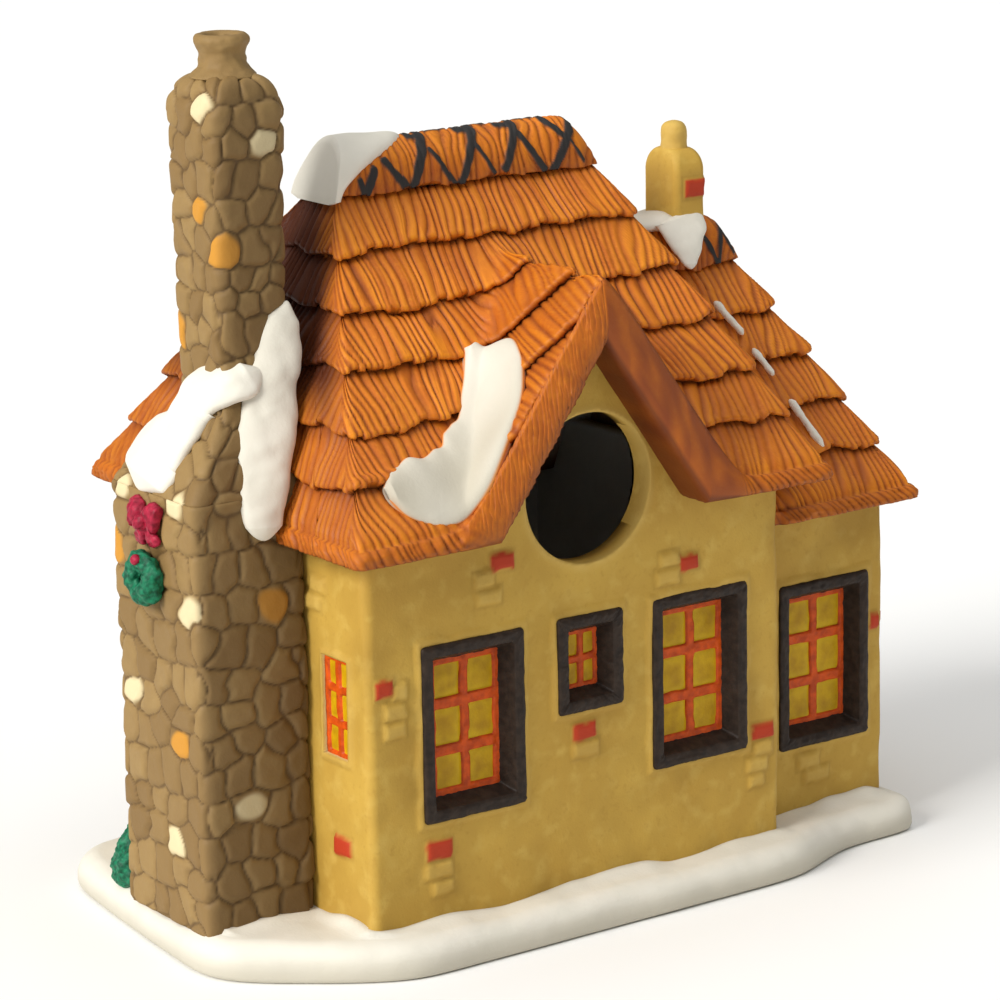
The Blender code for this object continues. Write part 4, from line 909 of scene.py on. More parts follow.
ridge_cap(
    "ridge_cap_wing", WING_ROOF, WING_CAP_FOOT, wing_cap_top, WING_CAP_START, 200, ["wing_ridge_cap"],
    WING_TIES, 170,
)


# Walls


def lines(low, high, step, stops=()):
    """Places from low to high no further apart than a step, with each stop among them."""
    marks = sorted({low, high, *[stop for stop in stops if low < stop < high]})
    parts = [[low]]
    for a, b in zip(marks, marks[1:]):
        parts.append(np.linspace(a, b, max(int(math.ceil((b - a) / step)), 1) + 1)[1:])
    return np.concatenate(parts)


class Block:
    """A block of walls: its box, the round of its corners, and turns for places on its sides."""

    def __init__(self, low, high, eave, radius):
        self.eave = eave
        self.left, self.right = low[0], high[0]
        self.near, self.far = low[1], high[1]
        self.middle, self.half = (low[1] + high[1]) / 2, (high[1] - low[1]) / 2
        self.radius = radius

    def back(self, x):
        """Turns for places on the back wall, which faces -Y."""
        return (x - self.left - self.radius) / (self.right - self.left - 2 * self.radius)

    def end(self, y, right):
        """Turns for places on the right end wall, or on the left one, counted down from -1."""
        share = (y - self.near - self.radius) / (self.far - self.near - 2 * self.radius)
        return 2 + share if right else -1 - share

    def outline(self, turn, inset):
        """The place of a turn on the outline, drawn in by an inset."""
        radius = np.maximum(self.radius - inset, 0.2)
        x, y = rim(turn, self.left + inset, self.right - inset, self.half - inset, radius)
        return x, y + self.middle


def inside_box(u, z, box):
    """How far inside an oblong a place is, in millimetres: its distance to the nearest side."""
    u0, u1, z0, z1 = box
    return np.minimum(np.minimum(u - u0, u1 - u), np.minimum(z - z0, z1 - z))


def brick_relief(u, z, bricks, seed):
    """Bricks as soft oblongs: the height rises over a short edge. Red ones are painted over all
    their face and a little past it, and pale ones are only rubbed paler."""
    height, red, pale, stain_and_shade = [np.zeros_like(u) for _ in range(4)]
    for k, (bu, bz, long, tall, kind) in enumerate(bricks):
        wave_u = 0.25 * ripple(seed + k, u / 1.6, z / 1.6)
        wave_z = 0.25 * ripple(seed + k + 50, u / 1.6, z / 1.6)
        box = (bu - long / 2, bu + long / 2, bz - tall / 2, bz + tall / 2)
        inside = inside_box(u + wave_u, z + wave_z, box)
        height = np.maximum(height, smooth_step(-0.6, 0.5, inside) * 0.75)
        stain_and_shade = np.maximum(stain_and_shade, np.exp(-(((inside + 0.55) / 0.35) ** 2)) * 0.32)
        if kind == "red":
            red = np.maximum(red, smooth_step(-0.35, 0.05, inside))
        else:
            pale = np.maximum(pale, smooth_step(-0.1, 0.5, inside) * 0.22)
    return height, red, pale, stain_and_shade


WALL_THICK = 4.5
# How wide the plaster's collar is round an opening, and how far a frame laps over its wall
PLASTER_MARGIN = 1.1
FRAME_LAP = 0.35


def make_walls(name, block, turns, heights, openings, bricks, seed, nodes, hole=None, gable=None):
    """Hollow walls round a block: columns follow its outline, rows its height. Openings are left
    out of the grid, and the points round the lamp hole are drawn onto its circle. The face swells
    and sinks softly, stands up round each opening and carries the bricks."""
    rows, columns = len(heights), len(turns)
    turn = np.broadcast_to(turns, (rows, columns))
    z = np.broadcast_to(heights[:, None], (rows, columns)).copy()
    x, y = block.outline(turn, 0)
    inner_x, inner_y = block.outline(turn, WALL_THICK)
    step = np.mod(turn, 8)
    on_back = (step <= 1) | (step >= 7.999)
    on_end = ((step >= 2) & (step <= 3)) | ((step >= 6) & (step <= 7))
    on_front = (step >= 4) & (step <= 5)
    u = np.where(on_end, y, x)
    facing = np.where(on_back, 0, np.where(on_front, 2, np.where(step > 5.5, 3, 1)))

    mid_u = (u[:-1, :-1] + u[1:, 1:]) / 2
    mid_z = (z[:-1, :-1] + z[1:, 1:]) / 2
    mid_facing = facing[:-1, :-1]
    keep = np.ones(mid_u.shape, bool)
    for side, box in openings:
        here = (mid_facing == side) & (facing[1:, 1:] == side)
        keep &= ~(here & (inside_box(mid_u, mid_z, box) > 0))
    keep_low = mid_z < block.eave
    if gable:
        middle, peak = gable
        under_gable = mid_z < peak - GABLE_RISE * np.abs(mid_u - middle)
        keep_low |= (mid_facing == 0) & under_gable
    keep &= keep_low

    rim_lift, bare = np.zeros_like(x), 1.0
    if hole:
        hx, hz, radius = hole
        keep &= ~((mid_facing == 0) & (np.hypot(mid_u - hx, mid_z - hz) < radius))
        around = np.hypot(x - hx, z - hz)
        ring = np.pad(keep, 1, constant_values=True)
        touching = ~(ring[:-1, :-1] & ring[:-1, 1:] & ring[1:, :-1] & ring[1:, 1:])
        snap = touching & (facing == 0) & (np.abs(around - radius) < 1.2)
        scale = np.where(snap, radius / np.maximum(around, 1e-6), 1)
        x = np.where(snap, hx + (x - hx) * scale, x)
        z = np.where(snap, hz + (z - hz) * scale, z)
        inner_x = np.where(snap, x, inner_x)
        bare = np.where(snap, 0.0, 1.0)
        rim_lift = np.where(facing == 0, np.exp(-(((around - radius) / 1.1) ** 2)) * 0.35, 0)

    outer = np.stack([x, y, z], -1)
    inner = np.stack([inner_x, inner_y, z], -1)
    whole = np.floor(step)
    bend = np.where(whole % 2 == 1, step - whole, 0)
    direction = math.pi / 2 * (whole // 2 - 1 + bend)
    out = np.stack([np.cos(direction), np.sin(direction), 0 * direction], -1)

    height = 0.42 * lumps(seed, outer, 11.0) + 0.2 * lumps(seed + 5, outer, 3.4)
    pale, red = np.zeros_like(x), np.zeros_like(x)
    stain_and_shade = smooth_step(0.1, -0.55, height) * 0.5
    for opening_side, box in openings:
        away = -inside_box(u, z, box)
        near = (facing == opening_side) & (away > -0.6)
        wave = PLASTER_MARGIN + 0.5 * ripple(seed + 9, u / 3, z / 3)
        collar = smooth_step(wave + 0.5, wave - 0.3, away) * near
        height = height + collar * 0.5
        pale = np.maximum(pale, collar * 0.15)
    for brick_side in range(4):
        here = facing == brick_side
        chosen = [brick[1:] for brick in bricks if brick[0] == brick_side]
        if not chosen or not here.any():
            continue
        lift, red_here, pale_here, dark = brick_relief(u, z, chosen, seed + 20)
        height = height + lift * here
        pale = np.maximum(pale, pale_here * here)
        stain_and_shade = np.maximum(stain_and_shade, dark * here)
        red = np.maximum(red, red_here * here)
    foot = smooth_step(6.0, 0.0, z - heights[0])
    height = height + foot * 0.35 * (0.6 + ripple(seed + 31, u / 7, z / 9))
    # Painted shade: a darker band under the eaves on all but the back walls; the foot is a little darker too
    eave_shade = smooth_step(block.eave - 9, block.eave - 1, z) * (facing != 0) * 0.25
    stain_and_shade = np.clip(stain_and_shade + eave_shade + foot * 0.12, 0, 1)
    outer = outer + out * (height + rim_lift)[..., None]
    paint = {"stain_and_shade": stain_and_shade, "pale": pale + rim_lift * 1.2, "red": red}
    return shell(name, outer, inner, keep, "bisque_cream", WALL_STAIN, nodes, paint, bare=bare)


def hole_box(node, along):
    """The oblong that a window takes out of a wall, a little smaller than its frame: from the
    frame's place along x or y, and its height."""
    low, high = span(node)
    return (low[along] + FRAME_LAP, high[along] - FRAME_LAP, low[2] + FRAME_LAP, high[2] - FRAME_LAP)


wall_low, wall_high = span("chimney_wall")
wing_wall_low, wing_wall_high = span("wing_walls")
ABOVE_WALL = 1.2
CORNER_ROUND = 1.9
MAIN_EAVE_Z = wall_high[2] + ABOVE_WALL
WING_EAVE_Z = wing_wall_high[2] + ABOVE_WALL
MAIN_BLOCK = Block(wall_low, (span("back_wall")[1][0], wall_high[1]), MAIN_EAVE_Z, CORNER_ROUND)
# The wing's end wall stands further out than the CAD's, as in the photograph
WING_SWELLS = [2.2, 0, 0]
wing_start = (MAIN_BLOCK.right - 1.5, wing_wall_low[1])
WING_BLOCK = Block(wing_start, wing_wall_high + WING_SWELLS, WING_EAVE_Z, CORNER_ROUND)
WALL_FOOT = wall_low[2] - 0.9
GABLE_WALL_PEAK, BACK_WALL_TOP = 119.6, 120.2
# The lamp hole's x, height and radius
HOLE = (GABLE_MIDDLE + 1.4, 86.0, 14.6)
BACK_OPENINGS = [(0, hole_box(node + "_window_frame", 0)) for node in ("left", "small", "right")]
END_OPENINGS = [(3, hole_box("end_window_lattice", 1))]
FRONT_OPENINGS = [(2, hole_box("front_%s_window_frame" % side, 0)) for side in ("left", "right")]
door_left, door_right, _, door_head = hole_box("front_door_frame", 0)
FRONT_OPENINGS.append((2, (door_left, door_right, 0.0, door_head)))
WING_OPENINGS = [(0, hole_box("wing_window_frame", 0)), (2, hole_box("front_wing_window_frame", 0))]

# Bricks: wall (0 back, 1 right end, 2 front, 3 chimney end), the middle's place along the wall and
# its height, the brick's length and height, and its kind
BRICKS = [
    (0, -23.7, 75.0, 5.0, 3.0, "red"), (0, -28.0, 72.2, 4.6, 2.8, "pale"),
    (0, -27.0, 68.6, 5.4, 2.9, "pale"), (0, 20.3, 67.4, 4.4, 2.8, "red"),
    (0, 15.6, 68.8, 4.4, 2.6, "pale"), (0, 15.2, 65.4, 5.4, 2.8, "pale"),
    (0, -51.3, 55.0, 4.2, 3.0, "red"), (0, -47.6, 54.0, 3.0, 2.8, "pale"),
    (0, -48.6, 50.3, 4.8, 3.0, "pale"), (0, -48.8, 46.6, 4.6, 2.8, "pale"),
    (0, -5.3, 38.2, 5.2, 3.0, "red"), (0, -5.0, 34.6, 6.0, 2.8, "pale"),
    (0, -39.5, 21.6, 5.4, 3.4, "red"), (0, -39.6, 17.6, 6.2, 2.9, "pale"),
    (0, -38.8, 14.0, 4.6, 2.7, "pale"), (0, 38.7, 29.6, 5.2, 2.8, "red"),
    (0, 38.6, 26.2, 4.4, 2.7, "pale"), (0, 37.2, 23.0, 5.2, 2.8, "pale"),
    (0, 37.0, 19.8, 3.8, 2.5, "pale"), (3, -30.4, 22.8, 5.4, 3.4, "red"),
    (3, -24.2, 72.4, 4.6, 2.8, "pale"), (3, -22.4, 69.0, 5.4, 2.9, "pale"),
    (2, 30.0, 70.0, 5.2, 3.0, "red"), (2, 27.4, 66.6, 5.4, 2.8, "pale"),
    (2, -20.0, 20.0, 5.2, 3.0, "red"), (2, -22.4, 16.6, 5.4, 2.8, "pale"),
    (2, -47.0, 60.0, 5.0, 2.9, "pale"), (2, -46.0, 56.6, 5.2, 2.8, "pale"),
]
WING_BRICKS = [
    (0, 57.2, 17.8, 5.4, 2.9, "pale"), (0, 59.2, 14.4, 6.0, 2.8, "pale"),
    (0, 75.4, 44.2, 3.8, 3.0, "red"), (1, -30.0, 44.2, 4.0, 3.0, "red"),
    (1, -26.4, 41.0, 5.4, 2.8, "pale"), (1, 8.0, 24.0, 5.4, 3.0, "red"),
    (1, 11.0, 20.6, 5.4, 2.8, "pale"), (1, 5.6, 20.4, 5.2, 2.8, "pale"),
    (1, 16.0, 58.0, 5.4, 2.8, "pale"), (2, 55.0, 60.6, 5.4, 2.8, "pale"),
]


def stops_of(openings, side, first):
    """The edges of the openings in one wall: across it from first 0, up it from first 2."""
    return [edge for where, box in openings if where == side for edge in (box[first], box[first + 1])]


def corner_turns(at):
    """Turns round a corner, without its ends."""
    return np.linspace(at, at + 1, 9)[1:-1]


def side_turns(block, openings, side, step):
    """Turns along a block's back wall (0) or its front one (2), no further apart than a step. The
    front is walked from its right end to its left."""
    inset = block.radius
    turns = block.back(lines(block.left + inset, block.right - inset, step, stops_of(openings, side, 0)))
    return 5 - turns[::-1] if side == 2 else turns


# The two halves of the main walls meet behind the chimney and in the passage to the wing
HIDDEN_CHIMNEY_Y = -6.0
HIDDEN_PASSAGE_Y = 0.0
openings = BACK_OPENINGS + END_OPENINGS
near_y, far_y = MAIN_BLOCK.near + CORNER_ROUND, MAIN_BLOCK.far - CORNER_ROUND
back_turns = [
    MAIN_BLOCK.end(lines(near_y, HIDDEN_CHIMNEY_Y, 0.7, stops_of(openings, 3, 0)), False)[::-1],
    corner_turns(-1),
    side_turns(MAIN_BLOCK, openings, 0, 0.5),
    corner_turns(1),
    MAIN_BLOCK.end(lines(near_y, HIDDEN_PASSAGE_Y, 1.2), True),
]
all_heights = stops_of(openings, 0, 2) + stops_of(openings, 3, 2) + [MAIN_EAVE_Z]
back_heights = lines(WALL_FOOT, BACK_WALL_TOP, 0.55, all_heights)
make_walls(
    "walls_back", MAIN_BLOCK, np.concatenate(back_turns), back_heights, openings, BRICKS, 200,
    ["back_wall", "chimney_wall", "passage_wall"], HOLE, (GABLE_MIDDLE, GABLE_WALL_PEAK),
)
front_turns = [
    MAIN_BLOCK.end(lines(HIDDEN_PASSAGE_Y, far_y, 1.2), True),
    corner_turns(3),
    side_turns(MAIN_BLOCK, FRONT_OPENINGS, 2, 0.7),
    corner_turns(5),
    8 + MAIN_BLOCK.end(lines(HIDDEN_CHIMNEY_Y, far_y, 0.9), False)[::-1],
]
front_heights = lines(WALL_FOOT, MAIN_EAVE_Z, 0.7, stops_of(FRONT_OPENINGS, 2, 2))
make_walls(
    "walls_front", MAIN_BLOCK, np.concatenate(front_turns), front_heights, FRONT_OPENINGS, BRICKS, 220,
    ["front_wall", "chimney_wall", "passage_wall"],
)
wing_turns = [
    side_turns(WING_BLOCK, WING_OPENINGS, 0, 0.5),
    corner_turns(1),
    WING_BLOCK.end(lines(WING_BLOCK.near + CORNER_ROUND, WING_BLOCK.far - CORNER_ROUND, 0.8), True),
    corner_turns(3),
    side_turns(WING_BLOCK, WING_OPENINGS, 2, 0.8),
]
wing_heights = lines(WALL_FOOT, WING_EAVE_Z, 0.6, stops_of(WING_OPENINGS, 0, 2))
make_walls(
    "walls_wing", WING_BLOCK, np.concatenate(wing_turns), wing_heights, WING_OPENINGS, WING_BRICKS, 240,
    ["wing_walls"],
)


# Fieldstone chimney


def field_stones(seed, around, up, count, wide, tall):
    """Stones laid by hand: every cell of a brick-like lattice has one centre, moved at random, and
    a place belongs to the nearest one. Distance is the cube root of summed cubes, which gives the
    stones flat sides. Returns the gap between the two nearest, the stone's number, and the place
    seen from its centre."""
    best = np.full(around.shape, 1e9)
    second, number = best.copy(), np.zeros(around.shape)
    across, above = np.zeros(around.shape), np.zeros(around.shape)
    column, row = np.floor(around), np.floor(up)
    for i in (-1, 0, 1):
        for j in (-1, 0, 1):
            wrapped = np.mod(column + i, count)
            here = row + j
            centre_x = column + i + 0.5 * np.mod(here, 2) + 0.62 * hashed(seed, wrapped, here)
            centre_y = here + 0.5 + 0.6 * (hashed(seed + 1, wrapped, here) - 0.5)
            dx, dy = (around - centre_x) * wide, (up - centre_y) * tall
            away = (np.abs(dx) ** 3 + np.abs(dy) ** 3) ** (1 / 3)
            closer = away < best
            second = np.where(closer, best, np.minimum(second, away))
            number = np.where(closer, wrapped + 977 * here, number)
            across, above = np.where(closer, dx, across), np.where(closer, dy, above)
            best = np.where(closer, away, best)
    return second - best, number, across, above


def even_turns(left, right, half, radius, count):
    """Turns that cut an outline into equal lengths, and its whole length."""
    fine = np.linspace(0, 8, 4001)
    x, y = rim(fine, left, right, half, radius)
    length = walked(np.hypot(np.diff(x), np.diff(y)))
    places = np.arange(count) / count * length[-1]
    return np.interp(places, length, fine), length[-1]


STONE_SWELL = 0.8
STONE_JOINT = 0.55


def stone_work(name, levels, radius, columns, stone, seed, accents, nodes):
    """A stretch of fieldstone: each level is an outline with its height, left, right, near and far
    side. Stones swell like cushions between sunken joints, each leans its own way, and some are
    painted cream or ochre, chosen by the place of a point on them."""
    z, left, right, near, far = np.asarray(levels, float).T
    middle, half = (near + far) / 2, (far - near) / 2
    widest = int(np.argmax(right - left))
    turns, length = even_turns(left[widest], right[widest], half[widest], radius, columns)
    rows = len(z)
    turn = np.broadcast_to(turns, (rows, columns))
    round_off = np.minimum(radius, half * 0.9)
    x, y = rim(turn, *[side[:, None] for side in (left, right, half, round_off)])
    points = np.stack([x, y + middle[:, None], np.broadcast_to(z[:, None], x.shape)], -1)
    out = normals(points, True)
    centre = np.stack([(left + right) / 2, middle, z - 6], -1)[:, None]
    out *= np.sign(np.sum(np.sum(out * (points - centre), -1)))
    climb = walked(np.hypot(np.diff(z), np.diff(left)))
    wide, tall = stone
    count = max(round(length / wide), 4)
    cosine, sine = np.cos(turn * TAU / 8), np.sin(turn * TAU / 8)
    wave = 0.22 * ripple(seed + 8, 4 * cosine + z[:, None] / 5, 4 * sine - z[:, None] / 6)
    around = np.arange(columns)[None] / columns * count + wave
    up = (climb + z[0])[:, None] / tall + 0.2 * ripple(seed + 9, 3 * cosine, z[:, None] / 5)
    gap, number, across, above = field_stones(seed, around, up + 0 * around, count, wide, tall)
    gap = gap + 0.25 * lumps(seed + 4, points, 1.5)
    swell = 1 - (1 - np.clip(gap / 2.6, 0, 1)) ** 2.2
    lean = (own(seed + 5, number) - 0.5) * across * 0.12
    lean = lean + (own(seed + 6, number) - 0.4) * above * -0.1
    proud = (own(seed + 7, number) - 0.5) * 0.35
    height = (swell - 0.55) * STONE_SWELL + (lean + proud) * swell + 0.16 * lumps(seed + 3, points, 2.2)
    ends = np.minimum(np.arange(rows), np.arange(rows)[::-1])[:, None]
    height = height * np.clip(ends / 2 + 0.35, 0, 1)
    paint = {"joint": smooth_step(STONE_JOINT, 0.05, gap) * 0.8}
    paint["tone"] = own(seed + 2, number)
    # Painted shade on the side away from the light, darkest in the nook at the wall
    nook = smooth_step(-74, -55, points[..., 0]) * (points[..., 2] < 90)
    paint["shade"] = smooth_step(0.4, 0.95, -out[..., 1]) * (0.34 + 0.24 * nook)
    for kind in ("cream", "ochre"):
        paint[kind] = np.zeros(x.shape)
    for kind, *place in accents:
        far_off = np.linalg.norm(points - np.array(place), axis=-1)
        chosen = number[np.unravel_index(np.argmin(far_off), far_off.shape)]
        same = (number == chosen) & (far_off < 12)
        dab = smooth_step(3.9, 2.5, np.hypot(across, above) + 0.5 * lumps(seed + 12, points, 2.0))
        paint[kind] = np.maximum(paint[kind], same * dab * smooth_step(0.1, 0.8, gap))
    return tube(name, points + out * height[..., None], "fieldstone", STONE_STAIN, nodes, paint)


def sides(low, high, inset=0.0):
    """The left, right, near and far side of a box, drawn in by an inset."""
    return np.array([low[0] + inset, high[0] - inset, low[1] + inset, high[1] - inset])


def straight(low, high, step):
    """Levels of a plain upright stretch of stonework between a box's foot and head."""
    return [(z, *sides(low, high)) for z in lines(low[2], high[2], step)]


CREAM_STONES = [
    (-79, 6.5, 87), (-79, -14.4, 87), (-79, -14.4, 69.4), (-79, 4.0, 51.5), (-79, -8.9, 26.0),
    (-70.6, -21, 30.0), (-68, -10.6, 161.5), (-58.1, -15, 151.9), (-60, 9.5, 40), (-66, 9.5, 75),
    (-58, 2.6, 140),
]
OCHRE_STONES = [
    (-79, 7.5, 77), (-79, -12.7, 42.7), (-64.5, -21, 69.6), (-68, -6.0, 142.9), (-66.9, -15, 132.1),
    (-68, 0.5, 117.7), (-62, 9.5, 22), (-60, 2.6, 155),
]
ACCENTS = [("cream", *place) for place in CREAM_STONES] + [("ochre", *place) for place in OCHRE_STONES]
# A stone's usual width and height
LARGE_STONE, SMALL_STONE, STEP_STONE = (6.3, 6.7), (5.2, 5.8), (9.0, 6.0)
breast_low, breast_high = span("chimney_breast")
stack_low, stack_high = span("chimney_stack")
breast_low = breast_low - [0, 0, 0.8]
breast_high = breast_high + [0, 0, 0.3]
breast_levels = straight(breast_low, breast_high, 0.4)
stone_work("chimney_breast_stones", breast_levels, 2.4, 270, LARGE_STONE, 300, ACCENTS, ["chimney_breast"])

# The shoulder starts as the breast and narrows to the stack, a little hollow on the way
SHOULDER_FOOT, SHOULDER_TALL = 90.1, 17.1
shoulder_levels = []
for share in np.linspace(0, 1, 56):
    drawn = smooth_step(0.0, 1.0, share) * 0.35 + share * 0.65
    mixed = sides(breast_low, breast_high) * (1 - drawn) + sides(stack_low, stack_high) * drawn
    shoulder_levels.append((SHOULDER_FOOT + SHOULDER_TALL * share, *mixed))
stone_work(
    "chimney_shoulder_stones", shoulder_levels, 2.4, 260, LARGE_STONE, 320, ACCENTS, ["chimney_shoulder"]
)

# The stack widens a little upward and draws in over large stones to the pot's neck
DOME_TALL = 7.0
stack_levels = []
for z in lines(stack_low[2] - 1.5, stack_high[2] - DOME_TALL, 0.34):
    grown = -0.1 + 0.8 * (z - stack_low[2]) / (stack_high[2] - stack_low[2])
    stack_levels.append((z, *sides(stack_low, stack_high, -grown)))
for share in np.linspace(0, 1, 24)[1:]:
    inset = 4.2 * (1 - math.cos(share * math.pi / 2)) - 0.7
    height = stack_high[2] - DOME_TALL + 6.9 * math.sin(share * math.pi / 2)
    stack_levels.append((height, *sides(stack_low, stack_high, inset)))
stone_work("chimney_stack_stones", stack_levels, 2.9, 210, SMALL_STONE, 340, ACCENTS, ["chimney_stack"])

# The door's step: one flat stone, its top rounded off
step_low, step_high = span("front_step")
step_low = step_low + [0, 1.9, -0.7]
step_high = step_high - [0, 0, 0.7]
step_levels = straight(step_low, step_high, 0.35)
for share in np.linspace(0, 1, 12)[1:]:
    height = step_high[2] + 0.55 * math.sin(share * math.pi / 2)
    step_levels.append((height, *sides(step_low, step_high, 2.8 * share)))
stone_work("door_step_stone", step_levels, 1.6, 150, STEP_STONE, 350, [], ["front_step"])


# Turned and rolled pieces


def painted(points, paint):
    """The same numbers of paint at every point of a grid."""
    return {key: np.full(points.shape[:2], value) for key, value in (paint or {}).items()}


def turned(name, centre, profile, steps, finish, nodes, seed, rough, grain_size, closed=False, paint=None):
    """A form turned about an upright axis: the profile's radius and height at even angles, moved
    out and in by lumps of a height and a width. Finish is the slot and the material. Closed means
    that the profile comes back to its start."""
    radius, height = np.asarray(profile, float).T
    angle = np.arange(steps)[None] / steps * TAU
    x = centre[0] + radius[:, None] * np.cos(angle)
    y = centre[1] + radius[:, None] * np.sin(angle)
    points = np.stack([x, y, height[:, None] + 0 * angle], -1)
    outward = np.stack([np.cos(angle), np.sin(angle), 0 * angle], -1)
    bumps = lumps(seed, points, grain_size) * rough + lumps(seed + 3, points, grain_size / 2.6) * rough * 0.6
    points = points + outward * (bumps * np.clip(radius[:, None], 0, 1))[..., None]
    return tube(name, points, *finish, nodes, painted(points, paint), closed)


def roll(name, stations, finish, nodes, seed, rough, grain_size, steps, section, flat, paint=None):
    """A soft roll along a smooth line of stations, each with its place, half its width, its height
    and the direction that it rises in. A section is an oval, flat below by a share, and its ends
    are drawn to a point like a drop's. Lumps of a height and a width move the skin."""
    table = through(stations, steps)
    spine, wide, high, rise = table[:, :3], table[:, 3], table[:, 4], table[:, 5:8]
    ahead = unit(np.gradient(spine, axis=0))
    rise = unit(rise - ahead * np.sum(rise * ahead, 1, keepdims=True))
    side = np.cross(ahead, rise)
    angle = np.arange(section)[None] / section * TAU
    taper = np.maximum(rounded_ends(np.linspace(0, 1, steps), 3.2), 0.02)[:, None]
    across = np.cos(angle) * wide[:, None] * taper
    lift = np.sin(angle)
    lift = np.where(lift > 0, np.abs(lift) ** 0.8, -np.abs(lift) * flat)
    lift = lift * high[:, None] * taper
    points = spine[:, None] + side[:, None] * across[..., None] + rise[:, None] * lift[..., None]
    out = side[:, None] * np.cos(angle)[..., None] + rise[:, None] * np.sin(angle)[..., None]
    bumps = lumps(seed, points, grain_size) * rough + lumps(seed + 3, points, grain_size / 2.7) * rough * 0.5
    points = points + out * (bumps * taper)[..., None]
    return tube(name, points, *finish, nodes, painted(points, paint))


SNOW = ("snow_white", WHITE_BISQUE)
# Snow with no painted shade and no orange wash
PLAIN_UNSHADED_SNOW = {"stain_and_shade": 0.0, "wash": 0.0}
# The chimney's pot: radius and height of its profile, and the one tone of its stone
pot_profile = [
    (2.7, 166.0), (6.2, 166.0), (5.8, 166.9), (4.9, 167.8), (4.4, 168.7), (4.2, 169.6), (4.25, 170.4),
    (4.6, 171.2), (5.0, 172.0), (5.2, 172.8), (5.0, 173.5), (4.4, 173.95), (3.6, 173.9), (3.1, 173.5),
    (2.8, 172.7), (2.7, 170.0),
]
pot_tone = {"tone": 0.35, "joint": 0.0, "cream": 0.0, "ochre": 0.0, "shade": 0.0}
turned(
    "chimney_pot_stone", (-60.0, -5.8), through(pot_profile, 60), 90, ("fieldstone", STONE_STAIN),
    ["chimney_pot"], 360, 0.45, 2.6, True, pot_tone,
)
# Snow on the verge and the chimney's shoulder: place, half the width, height and direction of rise
verge = [
    (-53.2, -14.4, 124.6, 1.4, 1.0, -0.2, -1, 0.3), (-54.6, -14.7, 120.5, 3.2, 1.6, -0.2, -1, 0.3),
    (-56.2, -15.2, 114.5, 4.5, 2.0, -0.3, -1, 0.3), (-58.2, -16.0, 108.0, 5.0, 2.3, -0.3, -1, 0.3),
    (-60.6, -17.4, 101.5, 5.5, 2.5, -0.3, -1, 0.4), (-62.4, -19.2, 95.5, 5.3, 2.5, -0.3, -1, 0.4),
    (-64.0, -21.2, 89.5, 4.6, 2.2, -0.3, -1, 0.3), (-64.8, -22.4, 85.5, 3.8, 1.8, -0.2, -1, 0.2),
    (-64.9, -22.6, 82.2, 2.6, 1.2, -0.2, -1, 0.1),
]
# The verge's snow is greyed evenly by painted shade
roll("snow_on_verge", verge, SNOW, ["verge_snow"], 400, 0.7, 6.0, 200, 56, 0.9, {"stain_and_shade": 0.3, "wash": 0.0})
shoulder = [
    (-79.0, -1.5, 90.2, 4.5, 1.6, -1, 0, 0.5), (-77.2, -2.2, 93.0, 8.4, 2.4, -1, 0, 0.6),
    (-74.6, -3.2, 97.2, 8.8, 2.2, -1, 0, 0.6), (-71.8, -6.0, 101.6, 6.0, 2.3, -1, 0, 0.6),
    (-69.4, -7.0, 105.2, 5.6, 2.6, -1, -0.2, 0.7), (-67.6, -8.8, 108.2, 5.8, 2.6, -1, -0.5, 0.8),
    (-66.2, -13.2, 110.0, 4.2, 2.4, -0.7, -1, 0.8), (-63.2, -15.2, 111.0, 3.6, 2.0, -0.1, -1, 0.6),
    (-59.8, -15.6, 112.6, 2.2, 1.4, 0, -1, 0.5),
]
roll("snow_on_shoulder", shoulder, SNOW, ["shoulder_snow"], 410, 0.8, 6.5, 200, 64, 0.8, PLAIN_UNSHADED_SNOW)


def ridge_snow(name, roof, low, high, nodes, seed):
    """Snow over the cap's chimney end: a second hood a little off the first. Its right edge runs
    down and left from the crest on both sides, and its skin sinks into the straw along it."""
    share = np.linspace(0, 1, 150)[:, None]
    arc = np.linspace(0, math.pi, 90)[None]
    fill = np.clip(1 - share**5, 0, 1) ** 0.5
    y, z, lean = hood(roof, low, high, arc, roof.half - roof.run, 0.6)
    crest = np.clip(np.sin(arc), 0, 1)
    right = -36.4 + 18.4 * crest**1.7 + 0.8 * ripple(seed, arc * 3, 0 * arc)
    left = roof.left + lean - 0.9 - 0.5 * crest
    x = left + (right - left) * share
    off = -0.9 + fill * (1.9 + 0.25 * ripple(seed + 1, x / 6, arc * 2))
    ease = np.clip(share * 12, 0, 1) ** 0.5
    y = y * (0.9 + 0.1 * ease) - np.cos(arc) * off
    z = low - 1.9 + (z - low) * (high - low + 1.6) / (high - low) * (0.82 + 0.18 * ease) + np.sin(arc) * off
    loop = with_floor(np.stack([x, y, z], -1), low - 2.6)
    return tube(name, loop, *SNOW, nodes, PLAIN_UNSHADED_SNOW)


ridge_snow("snow_on_ridge", MAIN_ROOF, CAP_FOOT, cap_top, ["ridge_snow"], 420)


# Snow beside the cross gable


